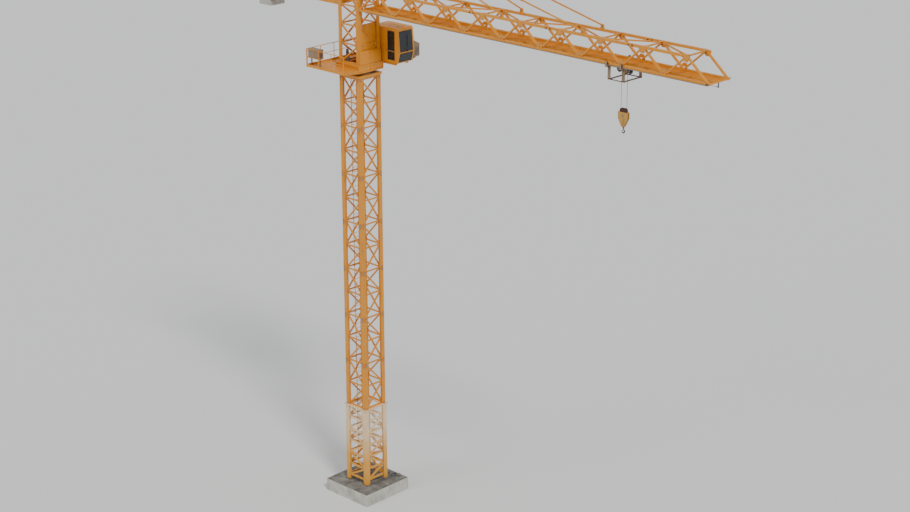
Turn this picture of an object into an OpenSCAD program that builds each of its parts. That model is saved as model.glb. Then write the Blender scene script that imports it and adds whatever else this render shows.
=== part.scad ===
// Tower crane: lattice mast on a concrete footing, with a slewing top, a box lattice jib on
// tie bars, a counter-jib with ballast, a travelling trolley and a hook block.
// The origin is the centre of the footing's underside and the jib points along +X.

/* [Footing and base] */
// Side of the square concrete footing
slab_w = 3700; // [3400:50:4400]
// Thickness of the concrete footing
slab_h = 800; // [600:50:1200]
// Spacing of the base legs, centre to centre
base_s = 1600; // [1500:20:1700]
// Height of the heavy base section
base_h = 5190; // [4800:10:6000]
// Section of the base legs
base_leg = 210; // [180:10:260]

/* [Mast] */
// Spacing of the mast legs, centre to centre
mast_s = 1520; // [1400:20:1600]
// Height of one mast section
section_h = 3050; // [2500:10:3200]
// Number of mast sections above the base
sections = 7; // [4:1:7]
// Bracing bays in one mast section
section_bays = 2; // [2:1:3]
// Section of the mast legs
mast_leg = 200; // [160:10:240]
// Width of the bracing bars
brace_w = 80; // [60:5:110]

/* [Slewing top] */
// Side of the square slewing frames
turn_w = 2000; // [1900:20:2100]
// Outer diameter of the slewing ring
ring_d = 1800; // [1600:20:1880]
// Spacing of the tower head legs, centre to centre
head_s = 1560; // [1500:10:1600]
// Section of the tower head legs
head_leg = 140; // [120:5:160]
// Height of the tower head up to the top of the jib
head_h = 4640; // [4400:20:5000]
// Height of the tie-bar peak above the tower head
peak_h = 4460; // [3800:20:4600]
// Reach of the service deck from the mast axis
deck_r = 2250; // [2150:50:2450]
// Height of the deck railing
rail_h = 1050; // [1000:10:1150]

/* [Cab] */
// Length of the cab along the jib, at the roof
cab_l = 2000; // [1850:50:2050]
// Width of the cab
cab_w = 1300; // [1200:50:1500]
// Height of the cab walls
cab_h = 2000; // [1900:50:2100]
// Thickness of the cab walls
cab_t = 50; // [40:5:60]

/* [Jib] */
// Length of one jib bay
bay_l = 2800; // [2600:50:2900]
// Number of jib bays
bays = 9; // [8:1:9]
// Overall height of the jib
jib_h = 1360; // [1300:20:1400]
// Section of the jib chords
chord = 140; // [120:5:150]
// Spacing of the jib chords, centre to centre
jib_s = 1620; // [1600:10:1640]

/* [Counter-jib] */
// Length of the counter-jib
counter_l = 7900; // [7600:100:8400]
// Depth of its two side beams
counter_beam = 300; // [240:10:360]
// Height of the ballast blocks
ballast_h = 2060; // [1800:20:2400]

/* [Hoist] */
// Distance of the trolley from the mast axis
trolley_x = 20150; // [6000:50:24000]
// Length of the trolley between its hangers
trolley_l = 960; // [900:20:1200]
// Depth of the hook block's top below the jib
hook_drop = 2620; // [2300:20:6000]

/* [Hidden] */

amber = [0.86, 0.58, 0.12];
cream = [0.86, 0.80, 0.62];
concrete = [0.62, 0.62, 0.58];
steel = [0.45, 0.45, 0.47];
glass = [0.30, 0.38, 0.42];

// Heights of the main levels
slab_top = slab_h;
base_top = slab_top + base_h;
collar_h = 60;
mast_bottom = base_top + collar_h;
mast_top = base_top + sections * section_h;
support_h = 210;
ring_h = 200;
turn_h = 450;
ring_z = mast_top + support_h;
turn_z = ring_z + ring_h;
turn_top = turn_z + turn_h;
head_top = turn_top + head_h;
peak_top = head_top + peak_h;
deck_t = 60;
deck_z = turn_top - 250;
jib_top = head_top;
jib_z = jib_top - jib_h;

// Places along the jib
head_face = head_s / 2 + head_leg / 2;
jib_x0 = head_face + 100;
jib_x1 = jib_x0 + bays * bay_l;
jib_top_x1 = jib_x1 - bay_l / 2;
chord_in = jib_s / 2 - chord / 2;
chord_out = jib_s / 2 + chord / 2;
tie_x = [jib_x0 + bay_l * 4, jib_x0 + bay_l * 6 + 150];
tie_y = 840;
tie_t = 30;
lug_t = 60;
lug_h = 240;

// Places along the counter-jib
counter_z = jib_z + 130;
counter_top = counter_z + counter_beam;
counter_y = head_s / 2 - 10;
counter_bw = 100;
ballast_x = -8300;
block_t = 350;
block_gap = 15;
blocks = 3;
ballast_x1 = ballast_x + blocks * (block_t + block_gap);
counter_tie_x = ballast_x1 + 200;
counter_deck_x = counter_tie_x + 150;
counter_deck_t = 40;

// Trolley frame, sheaves and ropes
seat = 0.3;
trolley_z0 = jib_z - 820;
beam_h = 50;
rope_d = 24;
sheave_d = 300;
sheave_w = 60;
sheave_z = jib_z - 350;
block_sheave_d = 360;
fall_x = block_sheave_d / 2 + seat + rope_d / 2;
sheave_x = fall_x + rope_d / 2 + seat + sheave_d / 2;
cheek_y = sheave_w / 2 + 5;
cheek_t = 20;
rope_z = sheave_z + sheave_d / 2 + 5 + rope_d / 2;

// Bars

// A straight bar of width w from a to b in a plane
module strut(a, b, w) {
  len = norm(b - a);
  translate(a)
    rotate(atan2(b[1] - a[1], b[0] - a[0]))
      translate([0, -w / 2]) square([len, w]);
}

// Turns a drawing in x and z into an upright plate of thickness t across y
module upright(t) {
  rotate([90, 0, 0]) linear_extrude(t, center = true) children();
}

// Zigzag bracing between two legs that are a clear width apart, over n bays of height h
module zigzag(clear, z0, n, h, w) {
  half = clear / 2;
  intersection() {
    translate([-half, z0]) square([clear, n * h]);
    union() {
      for (i = [0:n]) {
        level = z0 + (i == 0 ? w / 2 : i == n ? n * h - w / 2 : i * h);
        translate([-half, level - w / 2]) square([clear, w]);
      }
      for (i = [0:n - 1]) {
        side = i % 2 == 0 ? 1 : -1;
        strut([-side * (half + w / 2), z0 + i * h], [side * (half + w / 2), z0 + (i + 1) * h], w);
      }
    }
  }
}

// One lattice side in each of the four directions
module front_of(s) { translate([s / 2, 0, 0]) rotate(90) children(); }
module rear_of(s) { translate([-s / 2, 0, 0]) rotate(-90) children(); }
module left_of(s) { translate([0, s / 2, 0]) rotate(180) children(); }
module right_of(s) { translate([0, -s / 2, 0]) children(); }

// Four square legs
module four_legs(s, a, z0, z1) {
  for (x = [-1, 1], y = [-1, 1])
    translate([x * s / 2 - a / 2, y * s / 2 - a / 2, z0]) cube([a, a, z1 - z0]);
}

// Footing and base

module foundation_slab() {
  color(concrete) translate([-slab_w / 2, -slab_w / 2, 0]) cube([slab_w, slab_w, slab_h]);
}

foot_w = 360;
foot_h = 40;

module foot_plates() {
  color(steel) four_legs(base_s, foot_w, slab_top, slab_top + foot_h);
}

module base_legs() {
  color(cream) four_legs(base_s, base_leg, slab_top + foot_h, base_top);
}

base_bays = 6;

module base_side() {
  z0 = slab_top + 300;
  color(cream)
    upright(100)
      zigzag(base_s - base_leg, z0, base_bays, (base_top - z0) / base_bays, brace_w + 20);
}

module base_front_side() { front_of(base_s) base_side(); }
module base_rear_side() { rear_of(base_s) base_side(); }
module base_left_side() { left_of(base_s) base_side(); }
module base_right_side() { right_of(base_s) base_side(); }

// Bolted flange between the base and the mast
collar_w = base_s + base_leg + 120;
collar_in = mast_s - mast_leg - 100;

module base_collar() {
  color(cream)
    translate([0, 0, base_top])
      linear_extrude(collar_h)
        difference() {
          square(collar_w, center = true);
          square(collar_in, center = true);
        }
}

// Mast

joint_t = 25;
joint_w = 120;
joint_h = 320;

// Joint plates on the two outer faces of each leg, across a level where sections meet
module joint_plates(z) {
  out = (mast_s + mast_leg) / 2;
  intersection() {
    translate([-turn_w, -turn_w, mast_bottom])
      cube([2 * turn_w, 2 * turn_w, mast_top - mast_bottom]);
    for (x = [0, 1], y = [0, 1])
      mirror([x, 0, 0]) mirror([0, y, 0])
        translate([0, 0, z - joint_h / 2]) {
          translate([out, mast_s / 2 - joint_w / 2, 0]) cube([joint_t, joint_w, joint_h]);
          translate([mast_s / 2 - joint_w / 2, out, 0]) cube([joint_w, joint_t, joint_h]);
        }
  }
}

module mast_legs() {
  color(amber)
    union() {
      four_legs(mast_s, mast_leg, mast_bottom, mast_top);
      for (i = [0:sections]) joint_plates(base_top + i * section_h);
    }
}

module mast_side() {
  n = sections * section_bays;
  color(amber)
    upright(brace_w)
      zigzag(mast_s - mast_leg, mast_bottom, n, (mast_top - mast_bottom) / n, brace_w);
}

module mast_front_side() { front_of(mast_s) mast_side(); }
module mast_rear_side() { rear_of(mast_s) mast_side(); }
module mast_left_side() { left_of(mast_s) mast_side(); }
module mast_right_side() { right_of(mast_s) mast_side(); }

ladder_w = 420;
ladder_rail = 50;
ladder_t = 30;
ladder_clear = 15;
rung = 24;
rung_pitch = 300;

// Ladder up the inside of the mast, on brackets from the rear side
module mast_ladder() {
  x = -collar_in / 2 + ladder_clear;
  wall_x = -mast_s / 2 + brace_w / 2;
  color(amber) {
    for (m = [-1, 1])
      translate([x, m * ladder_w / 2 - ladder_t / 2, slab_top])
        cube([ladder_rail, ladder_t, mast_top - slab_top]);
    for (z = [slab_top + rung_pitch:rung_pitch:mast_top - 200])
      translate([x + ladder_rail / 2 - rung / 2, -(ladder_w - ladder_t) / 2, z])
        cube([rung, ladder_w - ladder_t, rung]);
    for (m = [-1, 1], i = [1:sections - 1])
      translate([wall_x, m * ladder_w / 2 - ladder_t / 2, base_top + i * section_h])
        cube([x - wall_x, ladder_t, brace_w / 2]);
  }
}

// Slewing top

manway_w = 900;
support_rim = 80;
support_out = 70;

// Half outline of the slewing support: mast width below, flaring to a square rim above
module support_outline() {
  low = (mast_s + mast_leg) / 2;
  high = low + support_out;
  polygon([
    [-low, mast_top], [low, mast_top], [high, ring_z - support_rim], [high, ring_z],
    [-high, ring_z], [-high, ring_z - support_rim]
  ]);
}

module slewing_support() {
  color(amber)
    difference() {
      intersection() {
        upright(turn_w) support_outline();
        rotate(90) upright(turn_w) support_outline();
      }
      translate([-manway_w / 2, -manway_w / 2, mast_top - 1])
        cube([manway_w, manway_w, support_h + 2]);
    }
}

// A flat ring between two diameters
module flat_ring(outer, inner, h) {
  linear_extrude(h)
    difference() {
      circle(d = outer, $fn = 64);
      circle(d = inner, $fn = 64);
    }
}

ring_gap = 6;
race_d = ring_d - 300;

// Outer race, fixed on the mast
module slewing_ring() {
  color(amber) translate([0, 0, ring_z]) flat_ring(ring_d, race_d, ring_h - ring_gap);
}

// Inner race, which carries the turntable
module slewing_race() {
  color(steel)
    translate([0, 0, ring_z + ring_gap])
      flat_ring(race_d - 2 * seat, race_d - 200, ring_h - ring_gap);
}

recess = 40;
recess_edge = 70;

// Box frame of the slewing top, with shallow panels between its edge bars
module turntable() {
  panel_w = (turn_w - 3 * recess_edge) / 2;
  color(amber)
    difference() {
      translate([-turn_w / 2, -turn_w / 2, turn_z]) cube([turn_w, turn_w, turn_h]);
      translate([-manway_w / 2, -manway_w / 2, turn_z - 1])
        cube([manway_w, manway_w, turn_h + 2]);
      for (a = [0:90:270], m = [0, 1])
        rotate(a)
          translate([turn_w / 2 - recess, m * (panel_w + recess_edge) - panel_w - recess_edge / 2,
                     turn_z + recess_edge])
            cube([recess + 1, panel_w, turn_h - 2 * recess_edge]);
    }
}

bracket_t = 60;
bracket_tip = 100;

// Knee bracket that carries the deck from a side of the turntable, drawn towards -x
module deck_bracket() {
  low = deck_z - deck_t;
  upright(bracket_t)
    polygon([
      [-turn_w / 2, turn_z], [-turn_w / 2, low], [-deck_r + bracket_tip, low],
      [-deck_r + bracket_tip, low - 30]
    ]);
}

// Deck on three sides of the turntable, open towards the jib and the cab, on knee brackets
module service_deck() {
  r = deck_r;
  reach = turn_w / 2 - bracket_t;
  color(amber)
    union() {
      translate([0, 0, deck_z - deck_t])
        linear_extrude(deck_t)
          difference() {
            translate([-r, -r]) square([r + turn_w / 2, 2 * r]);
            square(turn_w, center = true);
            translate([cab_x0 - cab_step, turn_w / 2]) square([turn_w, r]);
          }
      for (y = [-reach, 0, reach]) translate([0, y, 0]) deck_bracket();
      for (x = [-reach, 0, reach]) translate([x, 0, 0]) rotate(90) deck_bracket();
      translate([-reach, 0, 0]) rotate(-90) deck_bracket();
    }
}

post = 40;

// A straight run of railing along x, with posts at about even steps
module rail_run(len) {
  n = max(1, round(len / 1100));
  upright(post) {
    for (i = [0:n])
      translate([i * (len - post) / n, 0]) square([post, rail_h]);
    translate([0, rail_h - post]) square([len, post]);
    translate([0, rail_h / 2 - post / 2]) square([len, post]);
    square([len, 100]);
  }
}

panel_gap = 20;

// Three railing panels, round the right, rear and left edges of the deck
module deck_railing() {
  r = deck_r - post / 2;
  color(amber)
    translate([0, 0, deck_z]) {
      translate([-deck_r, -r, 0]) rail_run(deck_r + turn_w / 2);
      translate([-r, -deck_r + post + panel_gap, 0])
        rotate(90) rail_run(2 * (deck_r - post - panel_gap));
      translate([-deck_r, r, 0]) rail_run(deck_r);
    }
}

cabinet_l = 950;
cabinet_w = 350;
cabinet_h = 560;
cabinet_leg = 60;
cabinet_foot = 500;

// Switch cabinet on two legs, against the railing
module deck_cabinet() {
  color(cream)
    translate([-deck_r + 150, -deck_r + post + 5, deck_z])
      union() {
        translate([0, 0, cabinet_foot]) cube([cabinet_l, cabinet_w, cabinet_h]);
        for (x = [80, cabinet_l - 80 - cabinet_leg])
          translate([x, (cabinet_w - cabinet_leg) / 2, 0])
            cube([cabinet_leg, cabinet_leg, cabinet_foot]);
      }
}

module head_legs() {
  color(amber) four_legs(head_s, head_leg, turn_top, head_top);
}

module head_side() {
  color(amber)
    upright(brace_w)
      zigzag(head_s - head_leg, turn_top, 4, head_h / 4, brace_w);
}

head_plate_h = 2400;
head_plate_t = 20;

// The front side has a plate behind its lower bracing
module head_front_side() {
  clear = head_s - head_leg;
  color(amber)
    front_of(head_s)
      union() {
        head_side();
        translate([-clear / 2, brace_w / 2 - head_plate_t, turn_top])
          cube([clear, head_plate_t, head_plate_h]);
      }
}

module head_rear_side() { rear_of(head_s) head_side(); }
module head_left_side() { left_of(head_s) head_side(); }
module head_right_side() { right_of(head_s) head_side(); }

peak_t = 120;
peak_w = 140;
peak_half = 130;

// One upright frame of the peak, in x and z
module peak_frame() {
  foot = head_s / 2;
  mid = (foot + peak_half) / 2;
  mid_z = (head_top + peak_top) / 2;
  color(amber)
    upright(peak_t)
      intersection() {
        translate([-foot - peak_w, head_top]) square([2 * foot + 2 * peak_w, peak_h]);
        union() {
          for (m = [-1, 1])
            strut([m * foot, head_top - 30], [m * peak_half, peak_top], peak_w);
          translate([-mid, mid_z - brace_w / 2]) square([2 * mid, brace_w]);
          translate([-foot, head_top]) square([2 * foot, brace_w]);
          strut([-foot, head_top], [mid, mid_z], brace_w);
          strut([mid, mid_z], [-peak_half, peak_top - 200], brace_w);
          translate([-peak_half - peak_w / 2, peak_top - 360])
            square([2 * peak_half + peak_w, 360]);
        }
      }
}

peak_y = tie_y - peak_t / 2;

module peak_frames() {
  for (m = [-1, 1]) translate([0, m * peak_y, 0]) peak_frame();
}

module peak_cross_bars() {
  clear = 2 * peak_y - peak_t;
  foot = head_s / 2;
  color(amber) {
    translate([-peak_half, -clear / 2, peak_top - 300]) cube([2 * peak_half, clear, 240]);
    for (m = [-1, 1], k = [0.04, 0.36, 0.68]) {
      x = m * (foot + (peak_half - foot) * k);
      translate([x - 40, -clear / 2, head_top + peak_h * k - 40]) cube([80, clear, 80]);
    }
  }
}

// Cab, on the left of the tower head

cab_x0 = 200;
cab_x1 = cab_x0 + cab_l;
cab_y0 = turn_w / 2;
cab_y1 = cab_y0 + cab_w;
cab_z0 = turn_top;
cab_z1 = cab_z0 + cab_h;
cab_nose = 120;
cab_chin = 60;
cab_sill = 650;
cab_step = 10;
window_l = 550;
window_x = cab_x1 - 810;
window_z = 750;
window_h = 1150;
low_window_z = 180;
low_window_h = 480;
pillar_w = 90;
cab_floor_t = 40;
front_bar = 220;
cab_roof_t = 120;
roof_out = 35;

// Side outline of the cab, in x and z
module cab_outline(inset = 0) {
  polygon([
    [cab_x0 + inset, cab_z0], [cab_x1 - cab_chin - inset, cab_z0],
    [cab_x1 + cab_nose - inset, cab_z0 + cab_sill], [cab_x1 - inset, cab_z1],
    [cab_x0 + inset, cab_z1]
  ]);
}

// Two cantilevers from the turntable with two bearers along the cab
module cab_frame() {
  h = 150;
  color(amber)
    translate([0, 0, cab_z0 - h])
      linear_extrude(h)
        union() {
          for (x = [cab_x0 + 100, turn_w / 2 - 160])
            translate([x, cab_y0]) square([120, cab_w - 100]);
          for (y = [cab_y0 + 100, cab_y1 - 250])
            translate([cab_x0, y]) square([cab_l - 250, 100]);
        }
}

// Window openings of a side wall, in x and z: a tall pane over a low one
module cab_side_windows() {
  translate([window_x, cab_z0 + window_z]) square([window_l, window_h]);
  translate([window_x, cab_z0 + low_window_z]) square([window_l, low_window_h]);
}

module cab_side_wall(y) {
  color(amber)
    translate([0, y, 0])
      upright(cab_t)
        difference() {
          cab_outline();
          cab_side_windows();
        }
}

module cab_left_wall() { cab_side_wall(cab_y1 - cab_t / 2); }
module cab_right_wall() { cab_side_wall(cab_y0 + cab_t / 2); }

door_w = 650;
door_h = 1800;

module cab_rear_wall() {
  color(amber)
    translate([cab_x0, cab_y0 + cab_t, cab_z0])
      difference() {
        cube([cab_t, cab_w - 2 * cab_t, cab_h]);
        translate([-1, (cab_w - 2 * cab_t - door_w) / 2, cab_floor_t])
          cube([cab_t + 2, door_w, door_h]);
      }
}

module cab_floor() {
  color(steel)
    translate([cab_x0 + cab_t, cab_y0 + cab_t, cab_z0])
      cube([cab_l - cab_t - front_bar, cab_w - 2 * cab_t, cab_floor_t]);
}

module cab_roof() {
  color(amber)
    translate([cab_x0 - roof_out, cab_y0 - roof_out, cab_z1])
      cube([cab_l + 2 * roof_out, cab_w + 2 * roof_out, cab_roof_t]);
}

// Front frame: bars at the roof, the sill and the floor between two pillars
module cab_front_frame() {
  clear = cab_w - 2 * cab_t;
  color(amber)
    translate([0, (cab_y0 + cab_y1) / 2, 0])
      union() {
        upright(clear)
          intersection() {
            cab_outline();
            union() {
              translate([cab_x1 - 120, cab_z1 - 90]) square([200, 90]);
              translate([cab_x1 + 60, cab_z0 + cab_sill - 60]) square([300, 120]);
              translate([cab_x1 - front_bar, cab_z0]) square([200, 90]);
            }
          }
        for (m = [-1, 1])
          translate([0, m * (clear - pillar_w) / 2, 0])
            upright(pillar_w)
              intersection() {
                difference() {
                  cab_outline();
                  cab_outline(pillar_w);
                }
                translate([cab_x1 - front_bar, cab_z0]) square([cab_w, cab_h]);
              }
      }
}

pane = 10;

// Side panes, and the upper and lower front panes between the front bars
module cab_glass() {
  clear = cab_w - 2 * cab_t - 2 * pillar_w;
  color(glass) {
    for (y = [cab_y0 + cab_t / 2, cab_y1 - cab_t / 2])
      translate([0, y, 0]) upright(pane) cab_side_windows();
    translate([0, door_y + door_t / 2, 0]) upright(pane) door_window();
    translate([0, (cab_y0 + cab_y1) / 2, 0])
      upright(clear)
        intersection() {
          difference() {
            cab_outline();
            cab_outline(14);
          }
          union() {
            translate([cab_x1 - 100, cab_z0 + cab_sill + 60])
              square([500, cab_h - cab_sill - 150]);
            translate([cab_x1 - 300, cab_z0 + 90]) square([700, cab_sill - 150]);
          }
        }
  }
}

door_t = 40;
door_y = (cab_y0 + cab_y1 + door_w) / 2;

// Window of the door leaf, in x and z
module door_window() {
  translate([cab_x0 - door_w + 120, cab_z0 + window_z]) square([door_w - 240, 900]);
}

// Door leaf, standing open at its hinge edge on the rear wall
module cab_door() {
  color(amber)
    translate([0, door_y + door_t / 2, 0])
      upright(door_t)
        difference() {
          translate([cab_x0 - door_w, cab_z0 + cab_floor_t]) square([door_w, door_h]);
          door_window();
        }
}

air_l = 600;
air_w = 480;
air_h = 1000;
air_slope = 260;

// Air unit on the cab's outer side, with a sloping top
module cab_air_unit() {
  color(cream)
    translate([cab_x1 - air_l + 60, cab_y1, cab_z0 + 220])
      rotate([90, 0, 90])
        linear_extrude(air_l)
          polygon([[0, 0], [air_w, 0], [air_w, air_h - air_slope], [0, air_h]]);
}

// Jib

// One side truss of the jib, in x and z
module jib_side() {
  zb = jib_z + chord / 2;
  zt = jib_top - chord / 2;
  x0 = head_face;
  color(amber)
    upright(chord)
      union() {
        translate([x0, jib_z]) square([jib_x1 + 60 - x0, chord]);
        translate([x0, jib_top - chord]) square([jib_top_x1 + 60 - x0, chord]);
        for (i = [0:bays - 1]) {
          x = jib_x0 + i * bay_l;
          strut([x, zb], [x + bay_l / 2, zt], brace_w);
          strut([x + bay_l / 2, zt], [x + bay_l, zb], brace_w);
        }
      }
}

module jib_left_side() { translate([0, jib_s / 2, 0]) jib_side(); }
module jib_right_side() { translate([0, -jib_s / 2, 0]) jib_side(); }

// Cross bars and diagonals in one level face of the jib
module jib_face(x0, n, step) {
  intersection() {
    translate([head_face, -chord_in]) square([x0 + n * step + 60 - head_face, 2 * chord_in]);
    union() {
      for (i = [0:n])
        translate([x0 + i * step - brace_w / 2, -chord_in]) square([brace_w, 2 * chord_in]);
      for (i = [0:n - 1]) {
        side = i % 2 == 0 ? 1 : -1;
        strut([x0 + i * step, -side * chord_in], [x0 + (i + 1) * step, side * chord_in],
              brace_w - 20);
      }
    }
  }
}

module jib_top_bracing() {
  color(amber)
    translate([0, 0, jib_top - chord / 2 - 40])
      linear_extrude(brace_w) jib_face(jib_x0 + bay_l / 2, bays - 1, bay_l);
}

walk_w = 900;

module jib_bottom_bracing() {
  color(amber)
    translate([0, 0, jib_z + 20])
      linear_extrude(brace_w)
        union() {
          jib_face(jib_x0, bays * 4, bay_l / 4);
          translate([jib_x0, -walk_w / 2]) square([jib_x1 - jib_x0, walk_w]);
        }
}

rail_w = 70;
rail_t = 20;
rail_x0 = 1500;

// Running rails along the outer foot of both bottom chords
module jib_rails() {
  color(steel)
    for (m = [0, 1])
      mirror([0, m, 0])
        translate([rail_x0, chord_out, jib_z]) cube([jib_x1 - rail_x0, rail_w, rail_t]);
}

// Flat tie bar with round eyes, in x and z
module tie_bar(a, b) {
  strut(a, b, 90);
  translate(a) circle(d = 170, $fn = 32);
  translate(b) circle(d = 170, $fn = 32);
}

module tie_lug(x, z) {
  translate([x, tie_y - lug_t / 2, 0])
    upright(lug_t)
      polygon([[-140, z], [140, z], [70, z + lug_h], [-70, z + lug_h]]);
}

// Inner and outer tie bars on both sides, with their lugs on the top chords
module jib_ties() {
  color(amber)
    for (m = [0, 1])
      mirror([0, m, 0]) {
        translate([0, tie_y + tie_t / 2, 0])
          upright(tie_t)
            union() {
              tie_bar([peak_half - 20, peak_top - 120], [tie_x[0], jib_top + lug_h - 80]);
              tie_bar([peak_half - 20, peak_top - 120], [tie_x[1], jib_top + lug_h - 80]);
            }
        for (x = tie_x) tie_lug(x, jib_top);
      }
}

// Hoist rope along the underside of the jib, with its end brackets
module jib_rope() {
  color(steel) {
    translate([jib_x0 + 40, 0, rope_z]) rotate([0, 90, 0])
      cylinder(d = rope_d, h = jib_x1 - jib_x0 - 80, $fn = 8);
    for (x = [jib_x0 - 40, jib_x1 - 40])
      translate([x, -50, rope_z - 40]) cube([80, 100, jib_z + 20 - rope_z + 40]);
  }
}

// Counter-jib

module counter_jib_beams() {
  x1 = -head_face;
  color(amber)
    translate([0, 0, counter_z])
      linear_extrude(counter_beam)
        union() {
          for (m = [-1, 1])
            translate([x1 - counter_l, m * counter_y - counter_bw / 2])
              square([counter_l, counter_bw]);
          translate([x1 - counter_l, -counter_y]) square([counter_bw, 2 * counter_y]);
          for (i = [0:3])
            translate([x1 - counter_bw - i * (x1 - counter_tie_x) / 3, -counter_y])
              square([counter_bw, 2 * counter_y]);
          for (i = [0:2]) {
            a = x1 - counter_bw - i * (x1 - counter_tie_x) / 3;
            b = x1 - (i + 1) * (x1 - counter_tie_x) / 3;
            strut([a, -counter_y], [b, counter_y], counter_bw);
          }
        }
}

module counter_jib_deck() {
  color(steel)
    translate([counter_deck_x, -counter_y + counter_bw / 2, counter_top])
      cube([-head_face - counter_deck_x, 2 * counter_y - counter_bw, counter_deck_t]);
}

module counter_jib_railing() {
  color(amber)
    translate([counter_deck_x, 0, counter_top])
      for (m = [-1, 1])
        translate([0, m * counter_y, 0]) rail_run(-head_face - counter_deck_x);
}

module counter_ties() {
  color(amber)
    for (m = [0, 1])
      mirror([0, m, 0]) {
        translate([0, tie_y + tie_t / 2, 0])
          upright(tie_t)
            tie_bar([-peak_half + 20, peak_top - 120], [counter_tie_x, counter_top + lug_h - 80]);
        tie_lug(counter_tie_x, counter_top);
      }
}

shoulder_h = 700;

// Ballast blocks that hang by their shoulders on the side beams
module ballast_blocks() {
  top = counter_top;
  half = counter_y - counter_bw / 2 - 160;
  ear = counter_y + 20;
  z0 = top + shoulder_h - ballast_h;
  color(concrete)
    for (i = [0:blocks - 1])
      translate([ballast_x + i * (block_t + block_gap), 0, 0])
        rotate([90, 0, 90])
          linear_extrude(block_t)
            polygon([
              [-half, z0], [half, z0], [half, top], [ear, top], [ear, top + shoulder_h],
              [-ear, top + shoulder_h], [-ear, top], [-half, top]
            ]);
}

winch_x = counter_deck_x + 2100;
winch_l = 1500;
winch_w = 1200;
winch_base_h = 120;
drum_d = 520;
drum_w = 840;
stand_t = 60;
stand_h = 600;
flange_t = 30;
motor_d = 300;
motor_l = 640;
gear_w = 80;
gear_y = drum_w / 2 + stand_t;

// Winch: a base frame, two bearing stands, the drum between them, and a motor that turns it
// through a gearbox beside the stand
module hoist_winch() {
  z = counter_top + counter_deck_t;
  stand_l = winch_l / 2;
  color(steel) {
    translate([winch_x - winch_l / 2, -winch_w / 2, z]) cube([winch_l, winch_w, winch_base_h]);
    for (m = [-1, 1])
      translate([winch_x, m * (drum_w + stand_t) / 2, z + winch_base_h])
        upright(stand_t)
          polygon([
            [-stand_l / 2, 0], [stand_l / 2, 0], [stand_l / 4, stand_h], [-stand_l / 4, stand_h]
          ]);
    translate([winch_x, 0, z + winch_base_h + stand_h * 0.6])
      rotate([90, 0, 0]) {
        cylinder(d = drum_d - 120, h = drum_w, center = true, $fn = 48);
        for (m = [-1, 1])
          translate([0, 0, m * (drum_w - flange_t) / 2])
            cylinder(d = drum_d, h = flange_t, center = true, $fn = 48);
      }
    translate([winch_x - winch_l / 2 + motor_d / 2 + 20, gear_y, z + winch_base_h + motor_d / 2])
      rotate([90, 0, 0]) cylinder(d = motor_d, h = motor_l, $fn = 32);
    translate([winch_x - winch_l / 2 + 20, gear_y, z + winch_base_h])
      cube([winch_l / 2, gear_w, stand_h - 80]);
  }
}

// Trolley

wheel_d = 160;
axle_r = 25;
wheel_y = chord_out + 8;
flange_y = chord_out + rail_w + 5;
wheel_flange = 6;
wheel_lip = 14;
wheel_z = jib_z + rail_t + wheel_d / 2 + 0.3;
plate_y = flange_y + wheel_flange + 8;
plate_t = 24;
hanger_w = 190;
wheel_plate_w = 110;
frame_y = 700;
shelf_t = 30;
shelf_z = jib_z - 100;

// One corner of the trolley: wheel plate, shelf under the chord and hanger
module trolley_corner() {
  out = plate_y + plate_t;
  translate([-wheel_plate_w / 2, plate_y, shelf_z])
    cube([wheel_plate_w, plate_t, wheel_z + wheel_d / 2 - shelf_z]);
  translate([-hanger_w / 2, frame_y, shelf_z]) cube([hanger_w, out - frame_y, shelf_t]);
  translate([-hanger_w / 2, frame_y, trolley_z0])
    cube([hanger_w, plate_t, shelf_z + shelf_t - trolley_z0]);
}

// Frame round the trolley at height z, with its cross bars at x either side
module trolley_ring(z, x, t) {
  len = trolley_l + hanger_w;
  for (m = [0, 1])
    mirror([0, m, 0]) translate([-len / 2, frame_y, z]) cube([len, plate_t, t]);
  for (e = [-1, 1])
    translate([e * x - 40, -frame_y, z]) cube([80, 2 * frame_y, t]);
}

module trolley_frame() {
  color(cream)
    translate([trolley_x, 0, 0])
      union() {
        for (m = [0, 1], e = [-1, 1])
          mirror([0, m, 0]) translate([e * trolley_l / 2, 0, 0]) trolley_corner();
        trolley_ring(trolley_z0, trolley_l / 2, beam_h);
        trolley_ring(shelf_z, sheave_x, shelf_t);
      }
}

module trolley_wheels() {
  color(steel)
    for (m = [0, 1], e = [-1, 1])
      mirror([0, m, 0])
        translate([trolley_x + e * trolley_l / 2, wheel_y, wheel_z])
          rotate([-90, 0, 0])
            rotate_extrude($fn = 48)
              polygon([
                [0, 0], [wheel_d / 2, 0], [wheel_d / 2, flange_y - wheel_y],
                [wheel_d / 2 + wheel_lip, flange_y - wheel_y],
                [wheel_d / 2 + wheel_lip, flange_y - wheel_y + wheel_flange],
                [axle_r, flange_y - wheel_y + wheel_flange], [axle_r, plate_y - wheel_y],
                [0, plate_y - wheel_y]
              ]);
}

// A rope sheave on its pin, lying across x
module rope_sheave(d) {
  rotate([90, 0, 0]) {
    cylinder(d = d, h = sheave_w, center = true, $fn = 48);
    cylinder(d = 60, h = 2 * cheek_y, center = true, $fn = 32);
  }
}

cheek_l = 150;

// Two rope sheaves, each between cheek plates that hang from the upper cross bars
module trolley_sheaves() {
  drop = shelf_z - sheave_z + 50;
  color(steel)
    translate([trolley_x, 0, 0])
      for (e = [-1, 1]) {
        translate([e * sheave_x, 0, sheave_z]) rope_sheave(sheave_d);
        for (m = [-1, 1])
          translate([e * sheave_x - cheek_l / 2, m * (cheek_y + cheek_t / 2) - cheek_t / 2,
                     shelf_z - drop])
            cube([cheek_l, cheek_t, drop]);
      }
}

hook_top = jib_z - hook_drop;
block_h = 820;
block_sheave_z = hook_top - block_sheave_d / 2 - 20;

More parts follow.
